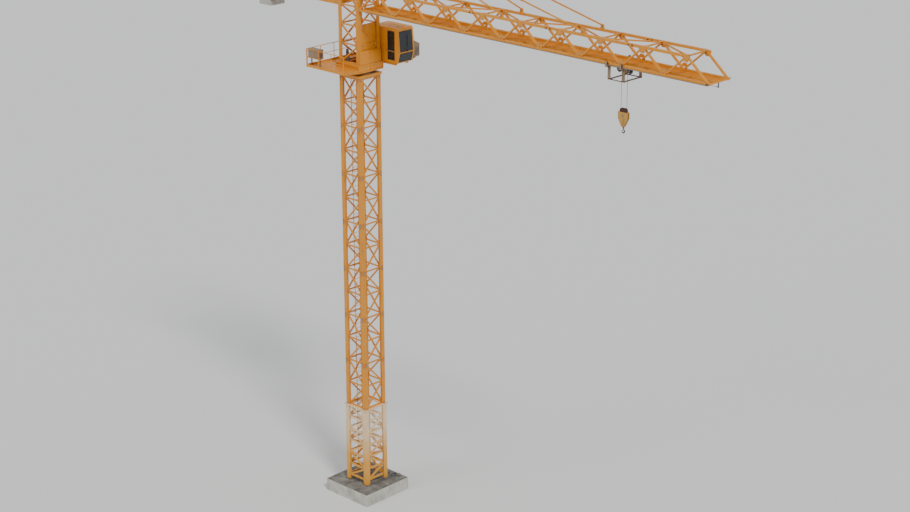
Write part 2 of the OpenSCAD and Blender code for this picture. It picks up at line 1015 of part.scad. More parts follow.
// The two falls of hoist rope, from the trolley's sheaves to the block's
module hoist_ropes() {
  color(steel)
    translate([trolley_x, 0, 0])
      for (e = [-1, 1])
        translate([e * fall_x, 0, block_sheave_z])
          cylinder(d = rope_d, h = sheave_z - block_sheave_z, $fn = 8);
}

// Two cheek plates on a crosshead that carries the hook
module hook_block() {
  half = 320;
  tip = 70;
  head_h = 100;
  color(amber)
    translate([trolley_x, 0, hook_top]) {
      for (m = [-1, 1])
        translate([0, m * (cheek_y + cheek_t / 2), 0])
          upright(cheek_t)
            polygon([[-half, 0], [half, 0], [half, -360], [tip, -block_h], [-tip, -block_h],
                     [-half, -360]]);
      translate([-tip, -cheek_y, -block_h]) cube([2 * tip, 2 * cheek_y, head_h]);
    }
}

module block_sheave() {
  color(steel) translate([trolley_x, 0, block_sheave_z]) rope_sheave(block_sheave_d);
}

module hook() {
  shank = 160;
  hook_d = 240;
  color(steel)
    translate([trolley_x, 0, hook_top - block_h - seat]) {
      translate([0, 0, -shank]) cylinder(d = 70, h = shank, $fn = 32);
      translate([0, 0, -shank - 80])
        upright(60)
          difference() {
            circle(d = hook_d, $fn = 48);
            circle(d = 110, $fn = 48);
            translate([-200, 10]) square([160, 120]);
          }
    }
}

foundation_slab();
foot_plates();
base_legs();
base_front_side();
base_rear_side();
base_left_side();
base_right_side();
base_collar();
mast_legs();
mast_front_side();
mast_rear_side();
mast_left_side();
mast_right_side();
mast_ladder();
slewing_support();
slewing_ring();
slewing_race();
turntable();
service_deck();
deck_railing();
deck_cabinet();
head_legs();
head_front_side();
head_rear_side();
head_left_side();
head_right_side();
peak_frames();
peak_cross_bars();
cab_frame();
cab_left_wall();
cab_right_wall();
cab_rear_wall();
cab_floor();
cab_roof();
cab_front_frame();
cab_glass();
cab_door();
cab_air_unit();
jib_left_side();
jib_right_side();
jib_top_bracing();
jib_bottom_bracing();
jib_rails();
jib_ties();
jib_rope();
counter_jib_beams();
counter_jib_deck();
counter_jib_railing();
counter_ties();
ballast_blocks();
hoist_winch();
trolley_frame();
trolley_wheels();
trolley_sheaves();
hoist_ropes();
hook_block();
block_sheave();
hook();
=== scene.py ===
"""Looks of the tower crane: finishes for its solids, and fittings too fine for them."""

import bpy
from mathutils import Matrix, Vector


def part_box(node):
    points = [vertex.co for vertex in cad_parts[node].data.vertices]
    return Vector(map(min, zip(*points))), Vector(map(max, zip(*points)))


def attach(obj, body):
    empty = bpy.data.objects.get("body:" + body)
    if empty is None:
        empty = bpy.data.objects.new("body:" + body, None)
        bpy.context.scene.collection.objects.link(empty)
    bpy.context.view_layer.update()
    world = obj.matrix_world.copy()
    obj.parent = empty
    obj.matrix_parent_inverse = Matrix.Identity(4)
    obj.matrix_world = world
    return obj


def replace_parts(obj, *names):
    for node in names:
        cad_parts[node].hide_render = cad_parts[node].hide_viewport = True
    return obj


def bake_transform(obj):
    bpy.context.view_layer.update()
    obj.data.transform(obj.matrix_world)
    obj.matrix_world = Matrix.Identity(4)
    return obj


bl_info = {
    "name": "Tower crane looks",
    "version": (1, 0, 0),
    "blender": (4, 5, 0),
    "location": "3D View > Sidebar > Crane",
    "description": "Finishes, bolts, gussets, gratings and ropes of a lattice tower crane",
    "category": "Object",
}

import math
import random

import bmesh
import bpy
from bpy.props import FloatProperty, FloatVectorProperty, IntProperty, PointerProperty
from mathutils import Matrix, Vector

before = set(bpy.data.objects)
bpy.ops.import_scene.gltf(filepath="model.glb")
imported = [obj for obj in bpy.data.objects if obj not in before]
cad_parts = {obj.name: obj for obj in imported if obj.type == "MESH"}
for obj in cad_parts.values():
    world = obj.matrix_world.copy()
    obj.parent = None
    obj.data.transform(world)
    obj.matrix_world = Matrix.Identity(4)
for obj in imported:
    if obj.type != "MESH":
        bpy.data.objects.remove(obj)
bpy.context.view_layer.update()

X = Vector((1, 0, 0))
Y = Vector((0, 1, 0))
Z = Vector((0, 0, 1))

# The four sides of a square lattice: the way along each side, and the way out of it
SIDES = [(X, -Y), (Y, X), (-X, Y), (-Y, -X)]


def hex_colour(code):
    """Turns an sRGB hex value into linear red, green and blue."""
    parts = [int(code[i:i + 2], 16) / 255 for i in (0, 2, 4)]
    return tuple(p / 12.92 if p <= 0.04045 else ((p + 0.055) / 1.055) ** 2.4 for p in parts)


def colour(label, code, about):
    return FloatVectorProperty(name=label, description=about, subtype="COLOR", size=3,
                               min=0, max=1, default=hex_colour(code))


def length(label, metres, about):
    return FloatProperty(name=label, description=about, unit="LENGTH", min=0.001,
                         default=metres)


# Places that the solids give

SLAB_LO, SLAB_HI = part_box("foundation_slab")
_, FOOT_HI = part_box("foot_plates")
_, BASE_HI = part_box("base_legs")
BASE_SIDE_LO, BASE_SIDE_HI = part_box("base_right_side")
MAST_LO, MAST_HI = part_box("mast_legs")
MAST_SIDE_LO, MAST_SIDE_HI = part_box("mast_right_side")
COLLAR_LO, COLLAR_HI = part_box("base_collar")
LADDER_LO, LADDER_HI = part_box("mast_ladder")
RING_LO, RING_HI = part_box("slewing_ring")
TURN_LO, TURN_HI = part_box("turntable")
DECK_LO, DECK_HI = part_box("service_deck")
RAILING_LO, RAILING_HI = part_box("deck_railing")
BOX_LO, BOX_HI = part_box("deck_cabinet")
HEAD_LO, HEAD_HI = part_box("head_legs")
HEAD_SIDE_LO, HEAD_SIDE_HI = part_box("head_right_side")
_, PEAK_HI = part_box("peak_frames")
NEAR_LO, NEAR_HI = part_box("cab_right_wall")
FAR_LO, FAR_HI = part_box("cab_left_wall")
ROOF_LO, ROOF_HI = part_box("cab_roof")
DOOR_LO, DOOR_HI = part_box("cab_door")
AIR_LO, AIR_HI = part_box("cab_air_unit")
JIB_LO, JIB_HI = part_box("jib_left_side")
FLOOR_LO, FLOOR_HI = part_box("jib_bottom_bracing")
ROPE_LO, ROPE_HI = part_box("jib_rope")
BEAM_LO, BEAM_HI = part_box("counter_jib_beams")
CDECK_LO, CDECK_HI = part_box("counter_jib_deck")
CRAIL_LO, CRAIL_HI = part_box("counter_jib_railing")
BALLAST_LO, BALLAST_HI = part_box("ballast_blocks")
WINCH_LO, WINCH_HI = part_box("hoist_winch")
TROLLEY_LO, TROLLEY_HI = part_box("trolley_frame")
SHEAVES_LO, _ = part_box("trolley_sheaves")
WHEELS_LO, WHEELS_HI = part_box("trolley_wheels")
FALLS_LO, FALLS_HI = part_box("hoist_ropes")
_, BLOCK_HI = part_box("hook_block")
HOOK_LO, HOOK_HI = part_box("hook")

TROLLEY_X = (TROLLEY_LO.x + TROLLEY_HI.x) / 2

ROPE = 0.024  # thickness of the wire ropes
CHORD = 0.14  # width of the jib's chords
LAP = 0.01  # how far a gusset reaches over the angle behind it
PROUD = 0.008  # how far the angles round the legs stand proud of them
ANCHOR_AT = 0.145  # from the middle of a leg to its anchor bolts
COLLAR_BOLT_AT = 0.135  # from the middle of a leg to the collar's bolts
FORM_BOARD = 0.2  # width of the boards that the footing was cast against
BALLAST_BOARD = 0.35  # width of the boards that the ballast was cast against
CHEEK = 0.07  # thickness of the weights on the hook block's cheeks
SEAL_DEPTH = 0.012  # how far a window's seal stands out


class CraneColours(bpy.types.PropertyGroup):
    """Colours of the crane's finishes."""

    amber: colour("Amber enamel", "D98A14", "Paint of the mast, jib and slewing top")
    amber_faded: colour("Faded amber", "DF9F3C", "Amber enamel bleached by the sun")
    # Painted floodlight: this light tone stands for strong light on the upper part of the amber
    # base section
    painted_floodlight_pale: colour("Cream enamel", "ECD1A6", "Paint of the base section")
    grime: colour("Grime", "6E4B20", "Dirt that rain leaves on the enamel")
    rust: colour("Rust", "6A3517", "Rust where the paint has chipped")
    galvanised: colour("Galvanised steel", "9A9DA0", "Gratings, plates and rails")
    dark_steel: colour("Greased steel", "3E3B38", "Ropes, sheaves and bearings")
    concrete: colour("Concrete", "C9C7BB", "Sides of the footing and the ballast")
    # Painted shade: this dark grey darkens the top of the footing against its sides; it also tints
    # random blots on all the concrete
    dark_concrete_and_top_shade: colour("Dirty concrete", "55534F", "Top of the footing")
    glass: colour("Tinted glass", "33434C", "Cab windows")
    rubber: colour("Rubber", "1A1A1B", "Window seals and buffers")
    lining: colour("Cab lining", "7C7B74", "Moulded panels inside the cab")
    machine_grey: colour("Machine grey", "6D7377", "Motors and gearboxes")
    block_tan: colour("Hook block enamel", "C0903F", "Paint of the hook block")
    trolley_tan: colour("Trolley enamel", "8F765C", "Paint of the trolley frame")
    # Dark red: the rope guard's red oxide coat, and painted shade on the trolley's lower frame
    red_primer_and_painted_shade: colour("Red primer", "4A1B14", "Rope guard, and lower frame of the trolley")
    floor: colour("Floor", "E4E4E1", "Studio floor")


class CraneSizes(bpy.types.PropertyGroup):
    """Sizes of the crane's fittings."""

    bolt: length("Bolt", 0.036, "Width across the flats of a structural bolt")
    anchor: length("Anchor bolt", 0.055, "Width across the flats of an anchor nut")
    pin: length("Joint pin", 0.06, "Diameter of the pins that join sections")
    gusset: length("Gusset", 0.3, "Length of a gusset plate along its leg")
    plate: length("Plate", 0.012, "Thickness of gussets and stiffeners")
    mast_flange: length("Mast flange", 0.265, "Width of the angles on the mast's legs")
    base_flange: length("Base flange", 0.3, "Width of the angles on the base's legs")
    head_flange: length("Head flange", 0.24, "Width of the angles on the head's legs")
    grate_pitch: length("Grating pitch", 0.12, "Spacing of the bars of a grating")
    grate_bar: length("Grating bar", 0.014, "Thickness of a grating bar")
    tread_pitch: length("Tread pitch", 0.15, "Spacing of the raised treads of the deck plate")
    tube: length("Rail tube", 0.042, "Diameter of the handrail tube")
    seal: length("Window seal", 0.035, "Width of the rubber round a window")
    sections: IntProperty(name="Mast sections", description="Sections above the base",
                          default=7, min=1)
    section_bays: IntProperty(name="Bays", description="Bracing bays in one section",
                              default=2, min=1)
    base_bays: IntProperty(name="Base bays", description="Bracing bays in the base",
                           default=6, min=1)
    head_bays: IntProperty(name="Head bays", description="Bracing bays in the tower head",
                           default=4, min=1)
    jib_bays: IntProperty(name="Jib bays", description="Bays along the jib", default=9, min=1)


# Making meshes


def add_solid(shape, rings, loop=False):
    """Joins rings of points into one solid, with flat ends or as a closed loop."""
    rows = [[shape.verts.new(point) for point in ring] for ring in rings]
    count = len(rows[0])
    for low, high in zip(rows, rows[1:] + rows[:1] if loop else rows[1:]):
        for i in range(count):
            shape.faces.new((low[i], low[(i + 1) % count], high[(i + 1) % count], high[i]))
    if not loop:
        shape.faces.new(rows[0][::-1])
        shape.faces.new(rows[-1])


def cross_axes(along, up=Z):
    """Two directions square to a line, the second as near to up as it can be."""
    side = along.cross(up)
    if side.length < 1e-4:
        side = along.cross(X)
    side.normalize()
    return side, side.cross(along).normalized()


def add_box(shape, corner, opposite):
    """A plain box between two opposite corners, in any order."""
    (x0, x1), (y0, y1), (z0, z1) = map(sorted, zip(corner, opposite))
    add_solid(shape, [[(x0, y0, z), (x1, y0, z), (x1, y1, z), (x0, y1, z)] for z in (z0, z1)])


def add_bar(shape, start, end, width, depth, up=Z):
    """A flat-sided bar from start to end, with its depth towards up."""
    start, end = Vector(start), Vector(end)
    side, top = cross_axes(end - start, up)
    corners = [(-1, -1), (1, -1), (1, 1), (-1, 1)]
    add_solid(shape, [[point + side * a * width / 2 + top * b * depth / 2 for a, b in corners]
                      for point in (start, end)])


def circle_points(centre, side, top, radius, sides):
    angles = [2 * math.pi * i / sides for i in range(sides)]
    return [centre + side * math.cos(a) * radius + top * math.sin(a) * radius for a in angles]


def add_turned(shape, start, along, profile, sides=24):
    """A turned solid: its profile lists distances along the axis and the radius there."""
    start, along = Vector(start), Vector(along).normalized()
    side, top = cross_axes(along)
    add_solid(shape, [circle_points(start + along * far, side, top, radius, sides)
                      for far, radius in profile])


def add_rod(shape, start, end, radius, sides=12):
    start, end = Vector(start), Vector(end)
    add_turned(shape, start, end - start, [(0, radius), ((end - start).length, radius)], sides)


def upright(x0, z0, x1, z1, y):
    """Corners of a rectangle that stands along x."""
    return [(x0, y, z0), (x1, y, z0), (x1, y, z1), (x0, y, z1)]


def standing(centre, offsets):
    """Points that are so far from a centre along x and up."""
    x, y, z = centre
    return [(x + dx, y, z + dz) for dx, dz in offsets]


def ways_round(count, side=X, top=Y):
    """Directions in even steps round a circle."""
    angles = [2 * math.pi * i / count for i in range(count)]
    return [side * math.cos(angle) + top * math.sin(angle) for angle in angles]


def add_plate(shape, outline, thickness):
    """A flat plate: its outline's points, and the vector that it is thick along."""
    points = [Vector(point) for point in outline]
    add_solid(shape, [points, [point + Vector(thickness) for point in points]])


def add_bolt(shape, seat, out, flats):
    """A hexagon bolt head on its washer, standing out from a seat."""
    seat, out = Vector(seat), Vector(out).normalized()
    side, top = cross_axes(out)
    radius = flats / math.sqrt(3)
    washer = flats * 0.1
    add_solid(shape, [circle_points(seat + out * far, side, top, flats * 0.75, 8)
                      for far in (0, washer)])
    add_solid(shape, [circle_points(seat + out * far, side, top, wide, 6)
                      for far, wide in ((washer, radius), (flats * 0.65, radius),
                                        (flats * 0.75, radius * 0.85))])


def add_bolts(shape, centre, offsets, out, flats):
    """Bolts on an upright plate, each so far from a centre along x and up."""
    for seat in standing(centre, offsets):
        add_bolt(shape, seat, out, flats)


def add_pin(shape, centre, axis, radius, reach):
    """A round pin through a joint, with a collar at each end."""
    centre, axis = Vector(centre), Vector(axis).normalized()
    collar, wide, length = 0.016, radius * 1.45, 2 * reach
    add_turned(shape, centre - axis * reach, axis,
               [(0, wide), (collar, wide), (collar, radius), (length - collar, radius),
                (length - collar, wide), (length, wide)], 16)


def add_tube(shape, path, radius, sides=8, taper=None):
    """A round tube along a path of points; taper lists a share of the radius at each point."""
    path = [Vector(point) for point in path]
    rings = []
    side, _ = cross_axes(path[1] - path[0])
    for i, point in enumerate(path):
        along = (path[min(i + 1, len(path) - 1)] - path[max(i - 1, 0)]).normalized()
        side = (side - along * side.dot(along)).normalized()
        wide = radius * (taper[i] if taper else 1)
        rings.append(circle_points(point, side, side.cross(along), wide, sides))
    add_solid(shape, rings)


def add_laid_rope(shape, start, end, diameter, strands=6, steps_per_turn=8, lay=8):
    """A laid rope: strands that wind round each other, one turn in lay diameters."""
    start, end = Vector(start), Vector(end)
    side, top = cross_axes((end - start).normalized())
    steps = max(2, int((end - start).length / (lay * diameter) * steps_per_turn))
    for k in range(strands):
        path = []
        for i in range(steps + 1):
            angle = 2 * math.pi * (k / strands + i / steps_per_turn)
            wound = (side * math.cos(angle) + top * math.sin(angle)) * diameter / 3
            path.append(start.lerp(end, i / steps) + wound)
        add_tube(shape, path, diameter / 6, sides=5)


def add_window_frame(shape, corners, out, width, depth):
    """A mitred frame of flat bars centred on the edge of an opening."""
    corners = [Vector(corner) for corner in corners]
    rings = []
    for last, corner, following in zip(corners[-1:] + corners, corners, corners[1:] + corners[:1]):
        inward = ((following - corner).normalized() + (last - corner).normalized()) * width / 2
        rings.append([corner + inward, corner - inward, corner - inward + out * depth,
                      corner + inward + out * depth])
    add_solid(shape, rings, loop=True)


def rounded_ring(low, high, inset, z, radius, steps=4):
    """Points at height z round an upright box with rounded corners, inset from its sides."""
    shift = Vector((inset, inset, 0))
    low, high = low + shift, high - shift
    centres = [(high.x - radius, high.y - radius, 0), (low.x + radius, high.y - radius, 90),
               (low.x + radius, low.y + radius, 180), (high.x - radius, low.y + radius, 270)]
    points = []
    for x, y, start in centres:
        for i in range(steps + 1):
            angle = math.radians(start + 90 * i / steps)
            points.append((x + radius * math.cos(angle), y + radius * math.sin(angle), z))
    return points


def add_rounded_box(shape, low, high, radius, lip=0.02):
    """A box with rounded corners and a softened top edge."""
    low, high = Vector(low), Vector(high)
    profile = [(0, low.z), (0, high.z - lip), (lip / 3, high.z - lip / 3), (lip, high.z)]
    add_solid(shape, [rounded_ring(low, high, inset, z, radius - inset)
                      for inset, z in profile])


def add_handrail(shape, start, end, height, sizes, steps=None):
    """A run of handrail: posts with foot plates, top and middle tubes and a toe board."""
    start, end = Vector(start), Vector(end)
    radius = sizes.tube / 2
    way = (end - start).normalized()
    start, end = start + way * radius, end - way * radius
    count = steps or max(1, round((end - start).length / 1.1))
    for i in range(count + 1):
        foot = start.lerp(end, i / count)
        add_rod(shape, foot, foot + Z * (height - radius), radius)
        add_turned(shape, foot, Z, [(0, 0.05), (0.012, 0.05)], 12)
    add_rod(shape, start + Z * (height - radius), end + Z * (height - radius), radius)
    add_rod(shape, start + Z * height / 2, end + Z * height / 2, radius * 0.75)
    add_bar(shape, start + Z * 0.05, end + Z * 0.05, 0.01, 0.1)


def add_grating(shape, low, high, top, sizes):
    """Bars along y with fewer and higher bars along x, standing on a level surface."""
    pitch, bar = sizes.grate_pitch, sizes.grate_bar
    (x0, y0), (x1, y1) = low, high
    count = int((x1 - x0) / pitch)
    for i in range(count + 1):
        x = x0 + (x1 - x0 - bar) * i / count
        add_box(shape, (x, y0, top), (x + bar, y1, top + 0.018))
    runs = max(2, int((y1 - y0) / (pitch * 1.5)))
    for i in range(runs + 1):
        y = y0 + (y1 - y0 - bar) * i / runs
        add_box(shape, (x0, y, top), (x1, y + bar, top + 0.024))


def make_object(name, shape, finish, bevel=0.0, round_angle=35):
    """Turns a shape into an object with its finish and rounded edges."""
    bmesh.ops.recalc_face_normals(shape, faces=shape.faces)
    mesh = bpy.data.meshes.new(name)
    shape.to_mesh(mesh)
    shape.free()
    mesh.materials.append(bpy.data.materials[finish])
    mesh.shade_smooth()
    mesh.set_sharp_from_angle(angle=math.radians(round_angle))
    piece = bpy.data.objects.new(name, mesh)
    bpy.context.scene.collection.objects.link(piece)
    if bevel:
        rounding = piece.modifiers.new("Rounded edges", "BEVEL")
        rounding.width = bevel
        rounding.segments = 2
        rounding.limit_method = "ANGLE"
    return piece


def make_piece(name, shape, body, finish, bevel=0.0, round_angle=35):
    """Turns a shape into a piece that rides on a body, with its finish."""
    piece = make_object(name, shape, finish, bevel, round_angle)
    if body:
        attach(piece, body)
    return piece


# Finishes


def feed(tree, node, inputs):
    """Gives each named input of a node a value or a colour, or the socket that feeds it."""
    for key, value in inputs.items():
        socket = node.inputs[key]
        if isinstance(value, bpy.types.NodeSocket):
            tree.links.new(value, socket)
        elif socket.type == "RGBA":
            socket.default_value = (*value, 1.0)
        else:
            socket.default_value = value


def add_node(tree, kind, inputs, take=0, **settings):
    """Adds one node with its settings and links, and gives the output that is asked for."""
    node = tree.nodes.new(kind)
    for key, value in settings.items():
        setattr(node, key, value)
    feed(tree, node, inputs)
    return node.outputs[take]


def start_finish(name):
    """A new material: its node tree, its shader and the piece's own coordinates in metres."""
    material = bpy.data.materials.new(name)
    material.use_nodes = True
    tree = material.node_tree
    return tree, tree.nodes["Principled BSDF"], add_node(tree, "ShaderNodeTexCoord", {},
                                                         "Object")


def blots(tree, place, across, low, high, stretch=(1, 1, 1), detail=3.0):
    """Soft blots about across metres wide, from 0 below low to 1 above high."""
    place = add_node(tree, "ShaderNodeMapping", {"Vector": place, "Scale": stretch})
    noise = add_node(tree, "ShaderNodeTexNoise", {"Vector": place, "Scale": 1 / across,
                                                  "Detail": detail, "Roughness": 0.6})
    return add_node(tree, "ShaderNodeMapRange",
                    {"Value": noise, "From Min": low, "From Max": high})


def stained(tree, coat, tone, spots, share):
    """A coat with another tone over its spots, at most share of it."""
    weight = add_node(tree, "ShaderNodeMath", {0: spots, 1: share}, operation="MULTIPLY")
    return add_node(tree, "ShaderNodeMix", {0: weight, 6: coat, 7: tone}, 2,
                    data_type="RGBA")


def weathered_enamel(tree, shader, place, paint, tones):
    """Sun fading, rain streaks and rust chips over a coat of machine enamel."""
    coat = stained(tree, paint, tones.amber_faded, blots(tree, place, 2.2, 0.42, 0.68), 0.3)
    streaks = blots(tree, place, 0.09, 0.55, 0.72, (1, 1, 0.07))
    dirt = add_node(tree, "ShaderNodeMath",
                    {0: streaks, 1: blots(tree, place, 0.7, 0.42, 0.6)}, operation="MULTIPLY")
    coat = stained(tree, coat, tones.grime, dirt, 0.55)
    chips = add_node(tree, "ShaderNodeMath",
                     {0: blots(tree, place, 0.045, 0.62, 0.66, detail=5.0),
                      1: blots(tree, place, 0.9, 0.5, 0.62)}, operation="MULTIPLY")
    coat = stained(tree, coat, tones.rust, chips, 1.0)
    worn = add_node(tree, "ShaderNodeMath", {0: dirt, 1: chips}, operation="MAXIMUM")
    rough = add_node(tree, "ShaderNodeMapRange", {"Value": worn, "To Min": 0.42, "To Max": 0.85})
    relief = add_node(tree, "ShaderNodeBump", {"Height": chips, "Distance": -0.002,
                                               "Strength": 0.6})
    feed(tree, shader, {"Base Color": coat, "Roughness": rough, "Normal": relief})


def amber_machine_enamel(tones):
    """Sprayed two-pack enamel on structural steel: satin, sun-faded, with streaks and chips."""
    tree, shader, place = start_finish("amber_machine_enamel")
    weathered_enamel(tree, shader, place, tones.amber, tones)


def amber_enamel_with_painted_floodlight(tones):
    """Amber enamel of the base section with painted floodlight: a light tone on its upper part,
    fading back to amber towards the feet.
    """
    tree, shader, place = start_finish("amber_enamel_with_painted_floodlight")
    height = add_node(tree, "ShaderNodeSeparateXYZ", {0: place}, "Z")
    ragged = add_node(tree, "ShaderNodeMath", {0: height, 1: blots(tree, place, 0.8, 0, 1)},
                      operation="ADD")
    # Painted floodlight: full above 4.4 m over the footing, none below 2.2 m, with a ragged edge
    painted_floodlight_share = add_node(tree, "ShaderNodeMapRange",
                    {"Value": ragged, "From Min": SLAB_HI.z + 2.2, "From Max": SLAB_HI.z + 4.4})
    paint = stained(tree, tones.amber_faded, tones.painted_floodlight_pale, painted_floodlight_share, 1.0)
    weathered_enamel(tree, shader, place, paint, tones)


def plain_enamel(tree, shader, place, paint, dirt, roughness):
    """Streaks of dirt and small chips over a coat of plain enamel."""
    coat = stained(tree, paint, dirt, blots(tree, place, 0.2, 0.48, 0.72, (1, 1, 0.2)), 0.55)
    coat = stained(tree, coat, dirt, blots(tree, place, 0.04, 0.62, 0.68), 0.7)
    # Orange peel of sprayed paint is about 3 mm across
    peel = blots(tree, place, 0.003, 0.3, 0.7)
    relief = add_node(tree, "ShaderNodeBump", {"Height": peel, "Distance": 0.0003})
    feed(tree, shader, {"Base Color": coat, "Roughness": roughness, "Normal": relief})


def brushed_over_enamel(name, paint, dirt, roughness):
    """Plain enamel or primer of housings, with streaks of dirt below their edges."""
    tree, shader, place = start_finish(name)
    plain_enamel(tree, shader, place, paint, dirt, roughness)


def trolley_enamel(tones):
    """Tan enamel of the trolley's hangers; its lower frame is dark red, painted shade under the
    trolley.
    """
    tree, shader, place = start_finish("trolley_enamel")
    height = add_node(tree, "ShaderNodeSeparateXYZ", {0: place}, "Z")
    # Painted shade: below the top of the lower ring the frame takes the dark red
    upper = add_node(tree, "ShaderNodeMapRange",
                     {"Value": height, "From Min": RING_TOP + 0.002,
                      "From Max": RING_TOP + 0.01})
    paint = stained(tree, tones.red_primer_and_painted_shade, tones.trolley_tan, upper, 1.0)
    plain_enamel(tree, shader, place, paint, tones.grime, 0.5)


def galvanised_steel(tones):
    """Hot-dip galvanised steel: grey with the zinc's spangle, dulled by weather."""
    tree, shader, place = start_finish("galvanised_steel")
    # Spangle about 15 mm across
    grains = add_node(tree, "ShaderNodeTexVoronoi", {"Vector": place, "Scale": 1 / 0.015},
                      "Color")
    tone = add_node(tree, "ShaderNodeSeparateColor", {0: grains}, "Red")
    coat = stained(tree, tones.galvanised, tones.dark_steel, tone, 0.35)
    coat = stained(tree, coat, tones.grime, blots(tree, place, 0.6, 0.4, 0.7), 0.35)
    relief = add_node(tree, "ShaderNodeBump", {"Height": tone, "Distance": 0.0005,
                                               "Strength": 0.3})
    feed(tree, shader, {"Base Color": coat, "Metallic": 0.7, "Roughness": 0.5,
                        "Normal": relief})


def zinc_plated_bolts(tones):
    """Zinc plating on bolts and pins, still bright, with rust starting."""
    tree, shader, place = start_finish("zinc_plated_bolts")
    stain = blots(tree, place, 0.02, 0.5, 0.7)
    coat = stained(tree, tones.galvanised, tones.rust, stain, 0.6)
    rough = add_node(tree, "ShaderNodeMapRange", {"Value": stain, "To Min": 0.35, "To Max": 0.7})
    feed(tree, shader, {"Base Color": coat, "Metallic": 0.9, "Roughness": rough})


def greased_steel(tones):
    """Machined steel under dark grease: sheaves, wheels and bearings."""
    tree, shader, place = start_finish("greased_steel")
    film = blots(tree, place, 0.12, 0.35, 0.7)
    coat = stained(tree, tones.dark_steel, tones.galvanised, film, 0.2)
    rough = add_node(tree, "ShaderNodeMapRange", {"Value": film, "To Min": 0.35, "To Max": 0.65})
    # Turning marks about 2 mm apart
    marks = add_node(tree, "ShaderNodeTexNoise", {"Vector": place, "Scale": 1 / 0.002})
    relief = add_node(tree, "ShaderNodeBump", {"Height": marks, "Distance": 0.0002})
    feed(tree, shader, {"Base Color": coat, "Metallic": 0.85, "Roughness": rough,
                        "Normal": relief})


def wire_rope_steel(tones):
    """Drawn rope wire, dark with grease; each wire of a strand is about 2 mm thick."""
    tree, shader, place = start_finish("wire_rope_steel")
    wires = add_node(tree, "ShaderNodeTexWave",
                     {"Vector": place, "Scale": 1 / 0.02, "Distortion": 0.6},
                     bands_direction="DIAGONAL")
    coat = stained(tree, tones.dark_steel, tones.galvanised, wires, 0.55)
    relief = add_node(tree, "ShaderNodeBump", {"Height": wires, "Distance": 0.001})
    feed(tree, shader, {"Base Color": coat, "Metallic": 0.8, "Roughness": 0.5,
                        "Normal": relief})


def cast_concrete(name, face, top, board, tones, top_level):
    """Concrete cast against boards: pores, stains, the boards' lines and its own top colour, which
    on the footing is painted shade.
    """
    tree, shader, place = start_finish(name)
    height = add_node(tree, "ShaderNodeSeparateXYZ", {0: place}, "Z")
    cloud = blots(tree, place, 0.7, 0.35, 0.7)
    wall = stained(tree, face, tones.dark_concrete_and_top_shade, cloud, 0.4)
    wall = stained(tree, wall, tones.grime, blots(tree, place, 0.12, 0.52, 0.75,
                                                        (1, 1, 0.15)), 0.35)
    # The top's own colour; on the footing it is painted shade, darker than the sides
    upper = stained(tree, top, face, cloud, 0.35)
    level = add_node(tree, "ShaderNodeMapRange",
                     {"Value": height, "From Min": top_level - 0.02,
                      "From Max": top_level - 0.005})
    lines = add_node(tree, "ShaderNodeMath", {0: height, 1: board}, operation="MODULO")
    groove = add_node(tree, "ShaderNodeMapRange", {"Value": lines, "From Min": 0.0,
                                                   "From Max": 0.012})
    # Pores about 15 mm across
    relief = add_node(tree, "ShaderNodeMath", {0: blots(tree, place, 0.015, 0.3, 0.6),
                                               1: groove}, operation="ADD")
    relief = add_node(tree, "ShaderNodeBump", {"Height": relief, "Distance": 0.006,
                                               "Strength": 0.7})
    feed(tree, shader, {"Base Color": stained(tree, wall, upper, level, 1.0),
                        "Roughness": 0.9, "Normal": relief})


def tinted_safety_glass(tones):
    """Tinted safety glass with a film of dust."""
    tree, shader, place = start_finish("tinted_safety_glass")
    dust = blots(tree, place, 0.5, 0.4, 0.8)
    rough = add_node(tree, "ShaderNodeMapRange", {"Value": dust, "To Min": 0.05, "To Max": 0.3})
    coat = stained(tree, tones.glass, tones.lining, dust, 0.25)
    feed(tree, shader, {"Base Color": coat, "Roughness": rough, "IOR": 1.52,
                        "Transmission Weight": 0.75})


def moulded_finish(name, tone, stain, roughness, grain):
    """Moulded rubber or plastic: an even tone, with a grain so many metres across."""
    tree, shader, place = start_finish(name)
    coat = stained(tree, tone, stain, blots(tree, place, 0.15, 0.45, 0.75), 0.4)
    relief = add_node(tree, "ShaderNodeBump", {"Height": blots(tree, place, grain, 0.3, 0.7),
                                               "Distance": grain / 10})
    feed(tree, shader, {"Base Color": coat, "Roughness": roughness, "Normal": relief})


NODE_FINISHES = {
    "board_cast_concrete": ["foundation_slab"],
    "ballast_concrete": ["ballast_blocks"],
    "amber_enamel_with_painted_floodlight": ["base_legs", "base_front_side", "base_rear_side",
                             "base_left_side", "base_right_side", "base_collar"],
    "cabinet_enamel": ["deck_cabinet", "cab_air_unit"],
    "trolley_enamel": ["trolley_frame"],
    "galvanised_steel": ["foot_plates", "cab_floor", "counter_jib_deck", "jib_rails"],
    "greased_steel": ["slewing_race", "trolley_wheels", "trolley_sheaves", "block_sheave",
                      "hook"],
    "grey_machine_enamel": ["hoist_winch"],
    "wire_rope_steel": ["jib_rope", "hoist_ropes"],
    "tinted_safety_glass": ["cab_glass"],
    "hook_block_enamel": ["hook_block"],
}


